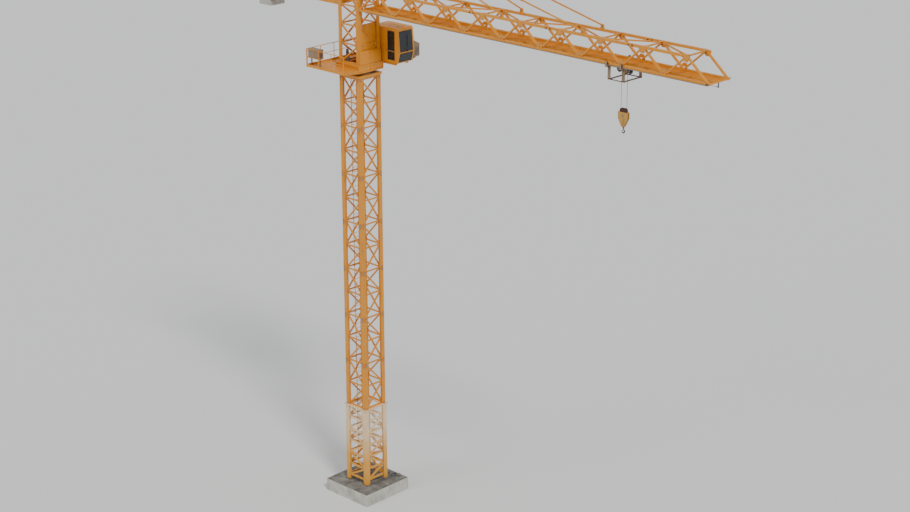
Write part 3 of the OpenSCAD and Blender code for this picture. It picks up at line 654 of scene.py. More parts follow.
class CRANE_OT_finishes(bpy.types.Operator):
    """Make the finishes and give each solid its own."""

    bl_idname = "crane.finishes"
    bl_label = "Finishes"

    def execute(self, context):
        tones = context.scene.crane_colours
        amber_machine_enamel(tones)
        amber_enamel_with_painted_floodlight(tones)
        trolley_enamel(tones)
        brushed_over_enamel("cabinet_enamel", tones.trolley_tan, tones.grime, 0.45)
        brushed_over_enamel("hook_block_enamel", tones.block_tan, tones.rust, 0.5)
        brushed_over_enamel("grey_machine_enamel", tones.machine_grey, tones.rust, 0.45)
        brushed_over_enamel("red_oxide_primer", tones.red_primer_and_painted_shade, tones.dark_steel, 0.7)
        galvanised_steel(tones)
        zinc_plated_bolts(tones)
        greased_steel(tones)
        wire_rope_steel(tones)
        tinted_safety_glass(tones)
        # The footing's top takes the dark grey as painted shade
        cast_concrete("board_cast_concrete", tones.concrete, tones.dark_concrete_and_top_shade, FORM_BOARD,
                      tones, SLAB_HI.z)
        cast_concrete("ballast_concrete", tones.concrete, tones.concrete, BALLAST_BOARD,
                      tones, BALLAST_HI.z)
        moulded_finish("window_rubber", tones.rubber, tones.lining, 0.75, 0.004)
        moulded_finish("cab_lining", tones.lining, tones.rubber, 0.7, 0.003)
        finish_of = {node: name for name, group in NODE_FINISHES.items() for node in group}
        for node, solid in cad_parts.items():
            material = bpy.data.materials[finish_of.get(node, "amber_machine_enamel")]
            solid.data.materials.clear()
            solid.data.materials.append(material)
        return {"FINISHED"}


# Pieces of the tower


def on_side(along, out, across, far, z):
    """A point on a side of the square tower: how far along it, how far out, and how high."""
    return along * across + out * far + Z * z


def bay_levels(low, high, bays):
    """Heights that divide a lattice into even bays, its ends included."""
    return [low + (high - low) * i / bays for i in range(bays + 1)]


def add_gussets(plates, bolts, panel, clear, levels, sizes):
    """Bolted gusset plates where the bracing of a square lattice meets its legs."""
    for along, out in SIDES:
        for i, level in enumerate(levels):
            for side in (-1, 1):
                # Both diagonals of a level meet the same leg, and its plate is the larger
                reach = sizes.gusset * (1.0 if (side == 1) == (i % 2 == 1) else 0.6)
                low = max(level - reach / 2, levels[0])
                high = min(level + reach / 2, levels[-1])
                inner = [max(level - 0.03, low), min(level + 0.03, high)]
                outline = [(clear, low), (clear - reach * 0.25, low),
                           (clear - reach * 0.6, inner[0]), (clear - reach * 0.6, inner[1]),
                           (clear - reach * 0.25, high), (clear, high)]
                add_plate(plates, [on_side(along, out, side * a, panel, z) for a, z in outline],
                          out * sizes.plate)
                for a, z in ((clear - 0.035, level - reach * 0.3),
                             (clear - 0.035, level + reach * 0.3),
                             (clear - reach * 0.42, level)):
                    if low + 0.02 < z < high - 0.02:
                        add_bolt(bolts, on_side(along, out, side * a, panel + sizes.plate, z),
                                 out, sizes.bolt)


def add_leg_angles(shape, face, panel, flange, low, high):
    """Heavy angles round the outer corners of four legs, down to the bracing behind them."""
    for x, y in ((1, 1), (-1, 1), (-1, -1), (1, -1)):
        outline = [(face, face), (face - flange, face), (face - flange, panel), (panel, panel),
                   (panel, face - flange), (face, face - flange)]
        add_solid(shape, [[(x * a, y * b, z) for a, b in outline] for z in (low, high)])


def leg_corners(spacing):
    """The four corners of a square, so far from its middle both ways."""
    return [Vector((x * spacing, y * spacing, 0)) for x in (-1, 1) for y in (-1, 1)]


BASE_SPACING = -(BASE_SIDE_LO.y + BASE_SIDE_HI.y) / 2
MAST_SPACING = -(MAST_SIDE_LO.y + MAST_SIDE_HI.y) / 2
MAST_CLEAR = MAST_SIDE_HI.x
HEAD_CLEAR = HEAD_SIDE_HI.x
# Outer faces of the angles that stand round the legs
BASE_FACE = BASE_HI.x + PROUD
MAST_FACE = 2 * MAST_SPACING - MAST_CLEAR + PROUD
HEAD_FACE = HEAD_HI.x + PROUD


class CRANE_OT_footing(bpy.types.Operator):
    """Cast the footing with its board lines, and set its anchor bolts and stiffeners."""

    bl_idname = "crane.footing"
    bl_label = "Footing"

    def execute(self, context):
        sizes = context.scene.crane_sizes
        self.cast_slab()
        bolts, plates = bmesh.new(), bmesh.new()
        half = BASE_HI.x - BASE_SPACING
        for leg in leg_corners(BASE_SPACING):
            for corner in leg_corners(ANCHOR_AT):
                seat = leg + corner + Z * FOOT_HI.z
                add_bolt(bolts, seat, Z, sizes.anchor)
                add_rod(bolts, seat, seat + Z * 0.09, sizes.anchor * 0.3)
            for along, out in SIDES:
                for across in (-0.05, 0.05):
                    root = leg + along * across + out * half + Z * FOOT_HI.z
                    add_plate(plates, [root, root + out * 0.065, root + out * 0.065 + Z * 0.03,
                                       root + Z * 0.2], along * sizes.plate)
        make_piece("anchor_bolts", bolts, "tower", "zinc_plated_bolts")
        make_piece("foot_stiffeners", plates, "tower", "amber_enamel_with_painted_floodlight")
        self.spill_mortar()
        return {"FINISHED"}

    def cast_slab(self):
        slab = bmesh.new()
        # The joints between form boards and the arris, as insets from the slab's face
        profile = [(0.0, 0.0)]
        for z in (FORM_BOARD, 2 * FORM_BOARD, 3 * FORM_BOARD):
            profile += [(z - 0.008, 0.0), (z, 0.006), (z + 0.008, 0.0)]
        profile += [(SLAB_HI.z - 0.025, 0.0), (SLAB_HI.z, 0.025)]
        add_solid(slab, [rounded_ring(SLAB_LO, SLAB_HI, inset, z, 0.03, 2)
                         for z, inset in profile])
        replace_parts(make_piece("cast_footing", slab, "tower", "board_cast_concrete"),
                    "foundation_slab")

    def spill_mortar(self):
        """Lumps of set mortar left on the footing."""
        lumps = bmesh.new()
        chance = random.Random(7)
        for x, y, wide, high in ((0.62, 1.45, 0.16, 0.17), (0.95, 1.3, 0.12, 0.1),
                                 (1.22, 1.6, 0.15, 0.19), (1.4, 1.28, 0.1, 0.09),
                                 (0.85, 1.68, 0.09, 0.08)):
            ball = bmesh.ops.create_icosphere(lumps, subdivisions=2, radius=1.0)
            for vert in ball["verts"]:
                rough = 1 + chance.uniform(-0.16, 0.16)
                vert.co = Vector((x + vert.co.x * wide * rough, y + vert.co.y * wide * rough,
                                  SLAB_HI.z + max(vert.co.z * high * rough, -0.004)))
        make_piece("mortar_lumps", lumps, "tower", "board_cast_concrete", round_angle=60)


class CRANE_OT_base(bpy.types.Operator):
    """Add the base section's gussets and leg angles, and the bolts of its collar."""

    bl_idname = "crane.base"
    bl_label = "Base section"

    def execute(self, context):
        sizes = context.scene.crane_sizes
        plates, bolts = bmesh.new(), bmesh.new()
        levels = bay_levels(BASE_SIDE_LO.z, BASE_SIDE_HI.z, sizes.base_bays)
        add_gussets(plates, bolts, -BASE_SIDE_LO.y, BASE_FACE - sizes.base_flange + LAP, levels,
                    sizes)
        add_leg_angles(plates, BASE_FACE, -BASE_SIDE_LO.y, sizes.base_flange,
                       FOOT_HI.z + 0.02, COLLAR_LO.z)
        for leg in leg_corners(BASE_SPACING):
            outward = Vector((math.copysign(1, leg.x), math.copysign(1, leg.y), 0))
            for a, b in ((1, 1), (1, -0.8), (-0.8, 1)):
                spot = leg + Vector((outward.x * a, outward.y * b, 0)) * COLLAR_BOLT_AT
                add_bolt(bolts, spot + Z * COLLAR_HI.z, Z, sizes.bolt)
                add_bolt(bolts, spot + Z * COLLAR_LO.z, -Z, sizes.bolt)
        for along, out in SIDES:
            for side in (-1, 1):
                root = on_side(along, out, side * BASE_SPACING, BASE_HI.x, COLLAR_LO.z)
                add_plate(plates, [root, root + out * 0.055, root + out * 0.055 - Z * 0.03,
                                   root - Z * 0.16], along * sizes.plate)
        make_piece("base_gussets", plates, "tower", "amber_enamel_with_painted_floodlight")
        make_piece("base_bolts", bolts, "tower", "zinc_plated_bolts")
        return {"FINISHED"}


class CRANE_OT_mast(bpy.types.Operator):
    """Add the mast's gussets, leg angles and ladder, and the bolts of its section joints."""

    bl_idname = "crane.mast"
    bl_label = "Mast"

    def execute(self, context):
        sizes = context.scene.crane_sizes
        plates, bolts = bmesh.new(), bmesh.new()
        levels = bay_levels(MAST_LO.z, MAST_HI.z, sizes.sections * sizes.section_bays)
        add_gussets(plates, bolts, -MAST_SIDE_LO.y, MAST_FACE - sizes.mast_flange + LAP, levels,
                    sizes)
        joints = bay_levels(COLLAR_LO.z, MAST_HI.z, sizes.sections)
        ends = [COLLAR_HI.z, *joints[1:]]
        gap = 0.012  # from the angles of a section to its joint
        for low, high in zip(ends, ends[1:]):
            add_leg_angles(plates, MAST_FACE, -MAST_SIDE_LO.y, sizes.mast_flange, low + gap,
                           high - gap)
        make_piece("mast_gussets", plates, "tower", "amber_machine_enamel")
        make_piece("mast_gusset_bolts", bolts, "tower", "zinc_plated_bolts")
        self.join_sections(joints, sizes)
        self.hang_ladder(joints)
        return {"FINISHED"}

    def join_sections(self, joints, sizes):
        bolts, seams = bmesh.new(), bmesh.new()
        for level in joints:
            for along, out in SIDES:
                for side in (-1, 1):
                    for step in (-0.12, -0.05, 0.05, 0.12):
                        z = level + step
                        if MAST_LO.z + 0.02 < z < MAST_HI.z - 0.02:
                            for shift in (-0.032, 0.032):
                                across = side * MAST_SPACING + shift
                                add_bolt(bolts, on_side(along, out, across, MAST_HI.x, z), out,
                                         sizes.bolt)
        half = MAST_SPACING - MAST_CLEAR
        for level in joints[1:-1]:
            for leg in leg_corners(MAST_SPACING):
                rim = (X + Y) * (half + 0.004) + Z * 0.005
                add_box(seams, leg + Z * level - rim, leg + Z * level + rim)
        make_piece("joint_bolts", bolts, "tower", "zinc_plated_bolts")
        make_piece("joint_seams", seams, "tower", "greased_steel")

    def hang_ladder(self, joints):
        ladder = bmesh.new()
        rail_x = LADDER_HI.x - 0.025
        left, right = LADDER_LO.y + 0.015, LADDER_HI.y - 0.015
        half = 0.006  # of a rail's thickness
        for y in (left, right):
            add_bar(ladder, (rail_x, y, LADDER_LO.z), (rail_x, y, LADDER_HI.z), 0.05, 2 * half,
                    Y)
            for level in joints[1:-1]:
                add_box(ladder, (LADDER_LO.x, y - half, level),
                        (rail_x, y + half, level + 0.04))
                add_bolt(ladder, (rail_x, y + math.copysign(half, y), level + 0.02),
                         Y * math.copysign(1, y), 0.02)
        pitch = 0.3
        for i in range(1, int((LADDER_HI.z - 0.2 - LADDER_LO.z) / pitch) + 1):
            z = LADDER_LO.z + i * pitch
            add_rod(ladder, (rail_x, left, z), (rail_x, right, z), 0.014, 8)
        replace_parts(make_piece("climbing_ladder", ladder, "tower", "amber_machine_enamel"),
                    "mast_ladder")


class CRANE_OT_slewing_ring(bpy.types.Operator):
    """Cut the slewing ring's teeth, and set its bolts and the slewing motor."""

    bl_idname = "crane.slewing_ring"
    bl_label = "Slewing ring"

    def execute(self, context):
        teeth, bolts = bmesh.new(), bmesh.new()
        radius = RING_HI.x
        count = 96
        for way in ways_round(count):
            across = Z.cross(way)
            root = way * (radius - 0.004) + Z * (RING_LO.z + 0.05)
            add_plate(teeth, [root - across * 0.018, root + way * 0.03 - across * 0.009,
                              root + way * 0.03 + across * 0.009, root + across * 0.018],
                      Z * 0.09)
        # The flange under the teeth, and its bolts
        flange = 0.022
        add_turned(teeth, Z * RING_LO.z, Z, [(0, radius + 0.025), (flange, radius + 0.025),
                                             (flange, radius - 0.01)], count)
        for way in ways_round(36):
            add_bolt(bolts, way * (radius + 0.008) + Z * (RING_LO.z + flange), Z, 0.024)
        make_piece("ring_teeth", teeth, "tower", "greased_steel")
        make_piece("ring_bolts", bolts, "tower", "zinc_plated_bolts")
        self.set_slewing_motor()
        return {"FINISHED"}

    def set_slewing_motor(self):
        """A flanged gearbox with its motor on the turntable, inside the tower head."""
        motor = bmesh.new()
        foot = Vector((-0.57, -0.45, TURN_HI.z))
        fins = []
        for i in range(9):
            z = 0.34 + i * 0.028
            fins += [(z, 0.095), (z + 0.01, 0.095), (z + 0.01, 0.08), (z + 0.028, 0.08)]
        flange = 0.03
        add_turned(motor, foot, Z, [(0, 0.15), (flange, 0.15), (flange, 0.12), (0.2, 0.12),
                                    (0.22, 0.14), (0.25, 0.14), (0.25, 0.09), (0.34, 0.08),
                                    *fins, (0.6, 0.088), (0.7, 0.088), (0.72, 0.07)], 20)
        add_box(motor, foot + Vector((0.07, -0.05, 0.38)), foot + Vector((0.15, 0.05, 0.5)))
        for way in ways_round(8):
            add_bolt(motor, foot + way * 0.133 + Z * flange, Z, 0.02)
        make_piece("slewing_motor", motor, "slewing_top", "grey_machine_enamel")


# Pieces of the slewing top


class CRANE_OT_deck(bpy.types.Operator):
    """Add the raised treads, the handrail and the fittings of the switch cabinet."""

    bl_idname = "crane.deck"
    bl_label = "Service deck"

    def execute(self, context):
        sizes = context.scene.crane_sizes
        self.press_treads(sizes)
        self.fit_handrail(sizes)
        self.fit_cabinet()
        return {"FINISHED"}

    def press_treads(self, sizes):
        treads = bmesh.new()
        pitch = sizes.tread_pitch
        fields = [((DECK_LO.x, DECK_LO.y), (DECK_HI.x, TURN_LO.y)),
                  ((DECK_LO.x, TURN_LO.y), (TURN_LO.x, TURN_HI.y)),
                  ((DECK_LO.x, TURN_HI.y), (NEAR_LO.x, DECK_HI.y))]
        for (x0, y0), (x1, y1) in fields:
            for i in range(int((x1 - x0 - 0.08) / pitch)):
                for j in range(int((y1 - y0 - 0.1) / pitch)):
                    centre = Vector((x0 + 0.08 + pitch * (i + 0.5), y0 + 0.06 + pitch * (j + 0.5),
                                     DECK_HI.z))
                    # Each tread is a low diamond, and every other one lies the other way
                    a, b = (X, Y) if (i + j) % 2 == 0 else (Y, X)
                    add_solid(treads, [[centre + way * k + Z * h for way in
                                        (a * 0.045, b * 0.012, a * -0.045, b * -0.012)]
                                       for h, k in ((0, 1), (0.007, 0.7))])
        make_piece("deck_treads", treads, "slewing_top", "amber_machine_enamel")

    def fit_handrail(self, sizes):
        rail = bmesh.new()
        z = RAILING_LO.z
        height = RAILING_HI.z - z
        inner = 0.02
        low, high = RAILING_LO.x + inner, RAILING_HI.y - inner
        gap = 0.06
        add_handrail(rail, (RAILING_LO.x, -high, z), (RAILING_HI.x, -high, z), height, sizes)
        add_handrail(rail, (low, RAILING_LO.y + gap, z), (low, RAILING_HI.y - gap, z), height,
                     sizes)
        add_handrail(rail, (RAILING_LO.x, high, z), (0, high, z), height, sizes)
        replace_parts(make_piece("deck_handrail", rail, "slewing_top", "amber_machine_enamel"),
                    "deck_railing")

    def fit_cabinet(self):
        door, dark = bmesh.new(), bmesh.new()
        floor = BOX_LO.z + 0.5  # on top of its legs
        face = BOX_HI.y + 0.014
        middle = (BOX_LO.x + BOX_HI.x) / 2
        for x0, x1 in ((BOX_LO.x + 0.03, middle - 0.006), (middle + 0.006, BOX_HI.x - 0.03)):
            add_box(door, (x0, BOX_HI.y, floor + 0.03), (x1, face, BOX_HI.z - 0.03))
        add_box(door, (BOX_LO.x - 0.02, BOX_LO.y - 0.015, BOX_HI.z),
                (BOX_HI.x + 0.02, BOX_HI.y + 0.03, BOX_HI.z + 0.016))
        slots = 6
        for i in range(slots):
            z = floor + 0.14 + i * 0.05
            add_box(dark, (BOX_HI.x, BOX_LO.y + 0.08, z),
                    (BOX_HI.x + 0.008, BOX_HI.y - 0.08, z + 0.02))
        for x in (BOX_LO.x + 0.05, BOX_HI.x - 0.05):
            for z in (floor + 0.12, BOX_HI.z - 0.12):
                hinge = Vector((x, face + 0.004, z))
                add_rod(dark, hinge - Z * 0.03, hinge + Z * 0.03, 0.01)
        for x in (middle - 0.06, middle + 0.06):
            add_box(dark, (x - 0.012, face, floor + 0.24), (x + 0.012, face + 0.02, floor + 0.34))
        glands = 3
        for i in range(glands):
            gland = Vector((BOX_LO.x + 0.3 + i * 0.12, (BOX_LO.y + BOX_HI.y) / 2, floor))
            add_rod(dark, gland, gland - Z * 0.05, 0.022)
        make_piece("cabinet_doors", door, "slewing_top", "cabinet_enamel", bevel=0.003)
        make_piece("cabinet_fittings", dark, "slewing_top", "window_rubber")


class CRANE_OT_head(bpy.types.Operator):
    """Add the tower head's gussets, leg angles, apron and bolts, and the peak's plates."""

    bl_idname = "crane.head"
    bl_label = "Tower head"

    def execute(self, context):
        sizes = context.scene.crane_sizes
        plates, bolts = bmesh.new(), bmesh.new()
        levels = bay_levels(HEAD_LO.z, HEAD_HI.z, sizes.head_bays)
        add_gussets(plates, bolts, -HEAD_SIDE_LO.y, HEAD_FACE - sizes.head_flange + LAP, levels,
                    sizes)
        add_leg_angles(plates, HEAD_FACE, -HEAD_SIDE_LO.y, sizes.head_flange,
                       HEAD_LO.z + 0.02, HEAD_HI.z)
        half = (HEAD_HI.x - HEAD_CLEAR) / 2
        centre = HEAD_HI.x - half
        for leg in leg_corners(centre):
            foot = leg + Z * HEAD_LO.z
            rim = (X + Y) * (half + 0.05)
            add_box(plates, foot - rim, foot + rim + Z * 0.02)
            for corner in leg_corners(half + 0.028):
                add_bolt(bolts, foot + corner + Z * 0.02, Z, 0.026)
        # Ribs that stiffen the plate behind the front bracing
        thick = sizes.plate / 2
        for y in (-0.35, 0.0, 0.35):
            add_box(plates, (centre - 0.055, y - thick, HEAD_LO.z + 0.05),
                    (centre - 0.04, y + thick, HEAD_LO.z + 2.35))
        make_piece("head_gussets", plates, "slewing_top", "amber_machine_enamel")
        self.guard_foot(sizes)
        make_piece("head_bolts", bolts, "slewing_top", "zinc_plated_bolts")
        self.dress_peak(sizes)
        return {"FINISHED"}

    def guard_foot(self, sizes):
        """The apron in front of the head's foot: a pressed box with a sloping top, on bolts."""
        apron, bolts = bmesh.new(), bmesh.new()
        back, front, low = HEAD_FACE, TURN_HI.x - 0.05, TURN_HI.z
        seam = 0.006
        for y0, y1 in ((HEAD_LO.y, -seam), (seam, HEAD_HI.y)):
            add_solid(apron, [[(back, y, low), (front, y, low), (front, y, low + 0.72),
                               (back, y, low + 0.82)] for y in (y0, y1)])
            for y in (y0 + 0.06, (y0 + y1) / 2, y1 - 0.06):
                for z in (low + 0.07, low + 0.64):
                    add_bolt(bolts, (front, y, z), X, sizes.bolt)
        make_piece("head_apron", apron, "slewing_top", "amber_machine_enamel", bevel=0.006)
        make_piece("apron_bolts", bolts, "slewing_top", "zinc_plated_bolts")

    def dress_peak(self, sizes):
        """Plates that hold the feet of the peak's frames on the head's legs."""
        plates, bolts = bmesh.new(), bmesh.new()
        foot = HEAD_HI.x - 0.07
        for side in (-1, 1):
            for face in (PEAK_HI.y, PEAK_HI.y - 0.12 - sizes.plate):
                y = side * face
                for end in (-1, 1):
                    outline = [(foot + 0.1, 0), (foot + 0.06, 0.24), (foot - 0.14, 0.24),
                               (foot - 0.24, 0)]
                    add_plate(plates, [(end * x, y, HEAD_HI.z + 0.005 + z) for x, z in outline],
                              Y * side * sizes.plate)
            for end in (-1, 1):
                for x, z in ((foot + 0.02, 0.06), (foot - 0.06, 0.06), (foot - 0.02, 0.17)):
                    seat = (end * x, side * (PEAK_HI.y + sizes.plate), HEAD_HI.z + z)
                    add_bolt(bolts, seat, Y * side, sizes.bolt)
        make_piece("peak_gussets", plates, "slewing_top", "amber_machine_enamel")
        make_piece("peak_bolts", bolts, "slewing_top", "zinc_plated_bolts")


# Where the tie bars' pins are: at the peak, and in the eyes of their lugs
TIE_TOP = PEAK_HI.z - 0.12
TIE_PIN_X = 0.11
TIE_Y = 0.855
TIE_LENGTH = 4.6  # about how long the bars are between their splices
JIB_FOOT = HEAD_HI.x + 0.1
JIB_END = JIB_HI.x - 0.06
LUG_EYE = 0.16


class CRANE_OT_ties(bpy.types.Operator):
    """Join the lengths of the tie bars with splice plates and pins."""

    bl_idname = "crane.ties"
    bl_label = "Tie bars"

    def execute(self, context):
        sizes = context.scene.crane_sizes
        plates, pins = bmesh.new(), bmesh.new()
        bay = jib_bay(sizes)
        ends = [Vector((JIB_FOOT + 4 * bay, 0, JIB_HI.z + LUG_EYE)),
                Vector((JIB_FOOT + 6 * bay + 0.15, 0, JIB_HI.z + LUG_EYE)),
                Vector((BALLAST_HI.x + 0.215, 0, BEAM_HI.z + LUG_EYE))]
        for side in (-1, 1):
            for end in ends:
                start = Vector((math.copysign(TIE_PIN_X, end.x), 0, TIE_TOP))
                way = (end - start).normalized()
                count = max(2, round((end - start).length / TIE_LENGTH))
                for i in range(1, count):
                    middle = start.lerp(end, i / count) + Y * side * TIE_Y
                    for face in (-1, 1):
                        centre = middle + Y * face * (0.015 + sizes.plate / 2)
                        add_bar(plates, centre - way * 0.24, centre + way * 0.24, sizes.plate,
                                0.1)
                    for step in (-0.17, 0.17):
                        add_pin(pins, middle + way * step, Y, sizes.pin * 0.35, 0.05)
                add_pin(pins, end + Y * side * (TIE_Y - 0.035), Y, sizes.pin * 0.55, 0.085)
            for x in (-TIE_PIN_X, TIE_PIN_X):
                add_pin(pins, (x, side * (TIE_Y - 0.06), TIE_TOP), Y, sizes.pin * 0.55, 0.12)
        make_piece("tie_splices", plates, "slewing_top", "amber_machine_enamel")
        make_piece("tie_pins", pins, "slewing_top", "zinc_plated_bolts")
        return {"FINISHED"}


# Outline of the cab's front, and its windows: x and z from low corner to high corner
CHIN_X, NOSE_X, BROW_X = NEAR_HI.x - 0.18, NEAR_HI.x, NEAR_HI.x - 0.12
SILL_Z = NEAR_LO.z + 0.65
WINDOW_BACK, WINDOW_FRONT = BROW_X - 0.81, BROW_X - 0.26
WAIST_Z = NEAR_LO.z + 0.75
SIDE_WINDOWS = [(WINDOW_BACK, WAIST_Z, WINDOW_FRONT, NEAR_LO.z + 1.9),
                (WINDOW_BACK, NEAR_LO.z + 0.18, WINDOW_FRONT, NEAR_LO.z + 0.66)]
DOOR_WINDOW = (DOOR_LO.x + 0.12, WAIST_Z, DOOR_HI.x - 0.12, NEAR_LO.z + 1.65)
FRONT_PANES = [(SILL_Z + 0.06, NEAR_HI.z - 0.09), (NEAR_LO.z + 0.09, SILL_Z - 0.06)]


def cab_front(z):
    """How far forward the cab's front reaches at a height."""
    if z < SILL_Z:
        return CHIN_X + (NOSE_X - CHIN_X) * (z - NEAR_LO.z) / (SILL_Z - NEAR_LO.z)
    return NOSE_X + (BROW_X - NOSE_X) * (z - SILL_Z) / (NEAR_HI.z - SILL_Z)


class CRANE_OT_cab(bpy.types.Operator):
    """Fit the cab's seals, roof, lining, door fittings, wiper, grab rails and air unit."""

    bl_idname = "crane.cab"
    bl_label = "Cab"

    def execute(self, context):
        sizes = context.scene.crane_sizes
        self.seal_windows(sizes)
        self.cap_roof()
        self.line_inside()
        self.fit_outside()
        self.fit_air_unit()
        return {"FINISHED"}

    def seal_windows(self, sizes):
        seals = bmesh.new()
        for out, faces in ((-Y, (NEAR_LO.y, FAR_LO.y)), (Y, (NEAR_HI.y, FAR_HI.y))):
            for y in faces:
                for window in SIDE_WINDOWS:
                    add_window_frame(seals, upright(*window, y), out, sizes.seal, SEAL_DEPTH)
        for out, y in ((-Y, DOOR_LO.y), (Y, DOOR_HI.y)):
            add_window_frame(seals, upright(*DOOR_WINDOW, y), out, sizes.seal, 0.01)
        for z0, z1 in FRONT_PANES:
            y0, y1 = NEAR_HI.y + 0.09, FAR_LO.y - 0.09
            low, high = Vector((cab_front(z0), 0, z0)), Vector((cab_front(z1), 0, z1))
            out = Y.cross(high - low).normalized()
            corners = [low + Y * y0, low + Y * y1, high + Y * y1, high + Y * y0]
            add_window_frame(seals, corners, out, sizes.seal, SEAL_DEPTH)
        make_piece("window_seals", seals, "slewing_top", "window_rubber",
                   bevel=0.003)

    def cap_roof(self):
        roof, vent = bmesh.new(), bmesh.new()
        low, high = ROOF_LO, ROOF_HI
        profile = [(0, 0.012), (0.012, 0.0), (0.05, 0.0), (0.06, 0.02), (0.1, 0.035),
                   (0.116, 0.07), (0.12, 0.13)]
        add_solid(roof, [rounded_ring(low, high, inset, low.z + rise, 0.14 - inset / 2, 5)
                         for rise, inset in profile])
        for x in (0.55, 0.95, 1.35):
            add_rounded_box(roof, (low.x + x, low.y + 0.25, high.z - 0.004),
                            (low.x + x + 0.12, high.y - 0.25, high.z + 0.016), 0.03, 0.012)
        add_rounded_box(vent, (high.x - 0.5, low.y + 0.4, high.z - 0.004),
                        (high.x - 0.28, high.y - 0.4, high.z + 0.03), 0.03, 0.012)
        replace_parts(make_piece("cab_roof_cap", roof, "slewing_top", "amber_machine_enamel"),
                    "cab_roof")
        make_piece("roof_vent", vent, "slewing_top", "amber_machine_enamel")

    def line_inside(self):
        panels, mat = bmesh.new(), bmesh.new()
        x0, x1 = NEAR_LO.x + 0.06, BROW_X - 0.28
        # Panels 8 mm thick on the inner faces of both walls
        for y in (NEAR_HI.y, FAR_LO.y - 0.008):
            inner = y + 0.008
            add_box(panels, (x0, y, NEAR_LO.z + 0.045),
                    (WINDOW_BACK - 0.05, inner, NEAR_HI.z - 0.02))
            add_box(panels, (WINDOW_BACK - 0.03, y, NEAR_LO.z + 0.68),
                    (x1, inner, WAIST_Z - 0.02))
        add_box(panels, (x0, NEAR_HI.y + 0.01, NEAR_HI.z - 0.03),
                (BROW_X - 0.14, FAR_LO.y - 0.01, NEAR_HI.z - 0.002))
        ribs = 24
        for i in range(ribs):
            x = x0 + (BROW_X - 0.3 - x0) * i / ribs
            add_box(mat, (x, NEAR_HI.y + 0.03, NEAR_LO.z + 0.04),
                    (x + 0.04, FAR_LO.y - 0.03, NEAR_LO.z + 0.048))
        make_piece("cab_lining_panels", panels, "slewing_top", "cab_lining", bevel=0.003)
        make_piece("floor_mat", mat, "slewing_top", "window_rubber")

    def fit_outside(self):
        skin, dark, rails = bmesh.new(), bmesh.new(), bmesh.new()
        for y, way in ((NEAR_LO.y, -1), (FAR_HI.y, 1)):
            for z0, z1 in ((NEAR_LO.z + 0.12, NEAR_LO.z + 0.62),
                           (WAIST_Z + 0.03, NEAR_HI.z - 0.12)):
                add_plate(skin, upright(NEAR_LO.x + 0.12, z0, WINDOW_BACK - 0.11, z1, y),
                          Y * way * 0.008)
            x0, x1, z = WINDOW_BACK - 0.14, WINDOW_FRONT + 0.1, WAIST_Z - 0.03
            off = y + way * 0.05
            add_tube(rails, [(x0, y, z), (x0, off, z + 0.02), (x1, off, z + 0.02), (x1, y, z)],
                     0.012)
        for y in (DOOR_LO.y - 0.75, DOOR_LO.y + 0.2):
            bow = ((0, 0.6), (-0.05, 0.62), (-0.05, 1.5), (0, 1.52))
            add_tube(rails, standing((NEAR_LO.x, y, NEAR_LO.z), bow), 0.014)
        for z in (0.25, 0.95, 1.65):
            hinge = Vector((DOOR_HI.x - 0.008, DOOR_HI.y + 0.008, NEAR_LO.z + z))
            add_rod(dark, hinge - Z * 0.06, hinge + Z * 0.06, 0.014)
        for y, way in ((DOOR_LO.y, -1), (DOOR_HI.y, 1)):
            x, z = DOOR_LO.x + 0.06, NEAR_LO.z + 1.0
            add_tube(dark, [(x, y, z), (x, y + way * 0.04, z), (x + 0.11, y + way * 0.045, z)],
                     0.01)
        # Wiper, parked upright on the upper front pane
        foot, head = SILL_Z + 0.03, SILL_Z + 0.7
        root = Vector((cab_front(foot) + 0.012, NEAR_HI.y + 0.62, foot))
        tip = Vector((cab_front(head) + 0.025, NEAR_HI.y + 0.7, head))
        add_rod(dark, root - X * 0.02, root + X * 0.03, 0.02)
        add_tube(dark, [root + X * 0.015, root.lerp(tip, 0.5) + X * 0.02, tip], 0.008)
        add_bar(dark, tip - Z * 0.34 - Y * 0.02, tip + Z * 0.3 + Y * 0.02, 0.012, 0.02, X)
        make_piece("cab_pressed_panels", skin, "slewing_top", "amber_machine_enamel",
                   bevel=0.003)
        make_piece("cab_grab_rails", rails, "slewing_top", "galvanised_steel")
        make_piece("door_and_wiper_fittings", dark, "slewing_top", "window_rubber")

    def fit_air_unit(self):
        case, dark = bmesh.new(), bmesh.new()
        low, high = AIR_LO, AIR_HI
        louvres = 9
        for i in range(louvres):
            z = low.z + 0.12 + i * 0.055
            start = Vector((low.x + 0.07, high.y + 0.006, z))
            add_bar(dark, start, start + X * (high.x - low.x - 0.14), 0.016, 0.03, Z + Y * 0.8)
            start = Vector((high.x + 0.006, low.y + 0.07, z))
            add_bar(dark, start, start + Y * (high.y - low.y - 0.12), 0.016, 0.03, Z + X * 0.8)
        drop = 0.273  # how far the lid slopes down to its front edge
        add_plate(case, [(low.x - 0.015, low.y, high.z), (high.x + 0.015, low.y, high.z),
                         (high.x + 0.015, high.y + 0.02, high.z - drop),
                         (low.x - 0.015, high.y + 0.02, high.z - drop)], Z * 0.014)
        # Brackets that carry the unit on the cab's wall
        for x in (low.x + 0.1, high.x - 0.13):
            add_plate(case, [(x, low.y, low.z), (x, high.y - 0.05, low.z),
                             (x, low.y, low.z - 0.16)], X * 0.03)
        make_piece("air_unit_lid", case, "slewing_top", "cabinet_enamel", bevel=0.003)
        make_piece("air_unit_louvres", dark, "slewing_top", "grey_machine_enamel")


# Pieces of the jib


def jib_bay(sizes):
    return (JIB_END - JIB_FOOT) / sizes.jib_bays


def jib_nodes(sizes, row):
    """Where the bracing meets the chords: the top ones sit half a bay further along."""
    bay = jib_bay(sizes)
    if row == "top":
        return [JIB_FOOT + bay * (i + 0.5) for i in range(sizes.jib_bays)]
    return [JIB_FOOT + bay * i for i in range(sizes.jib_bays + 1)]


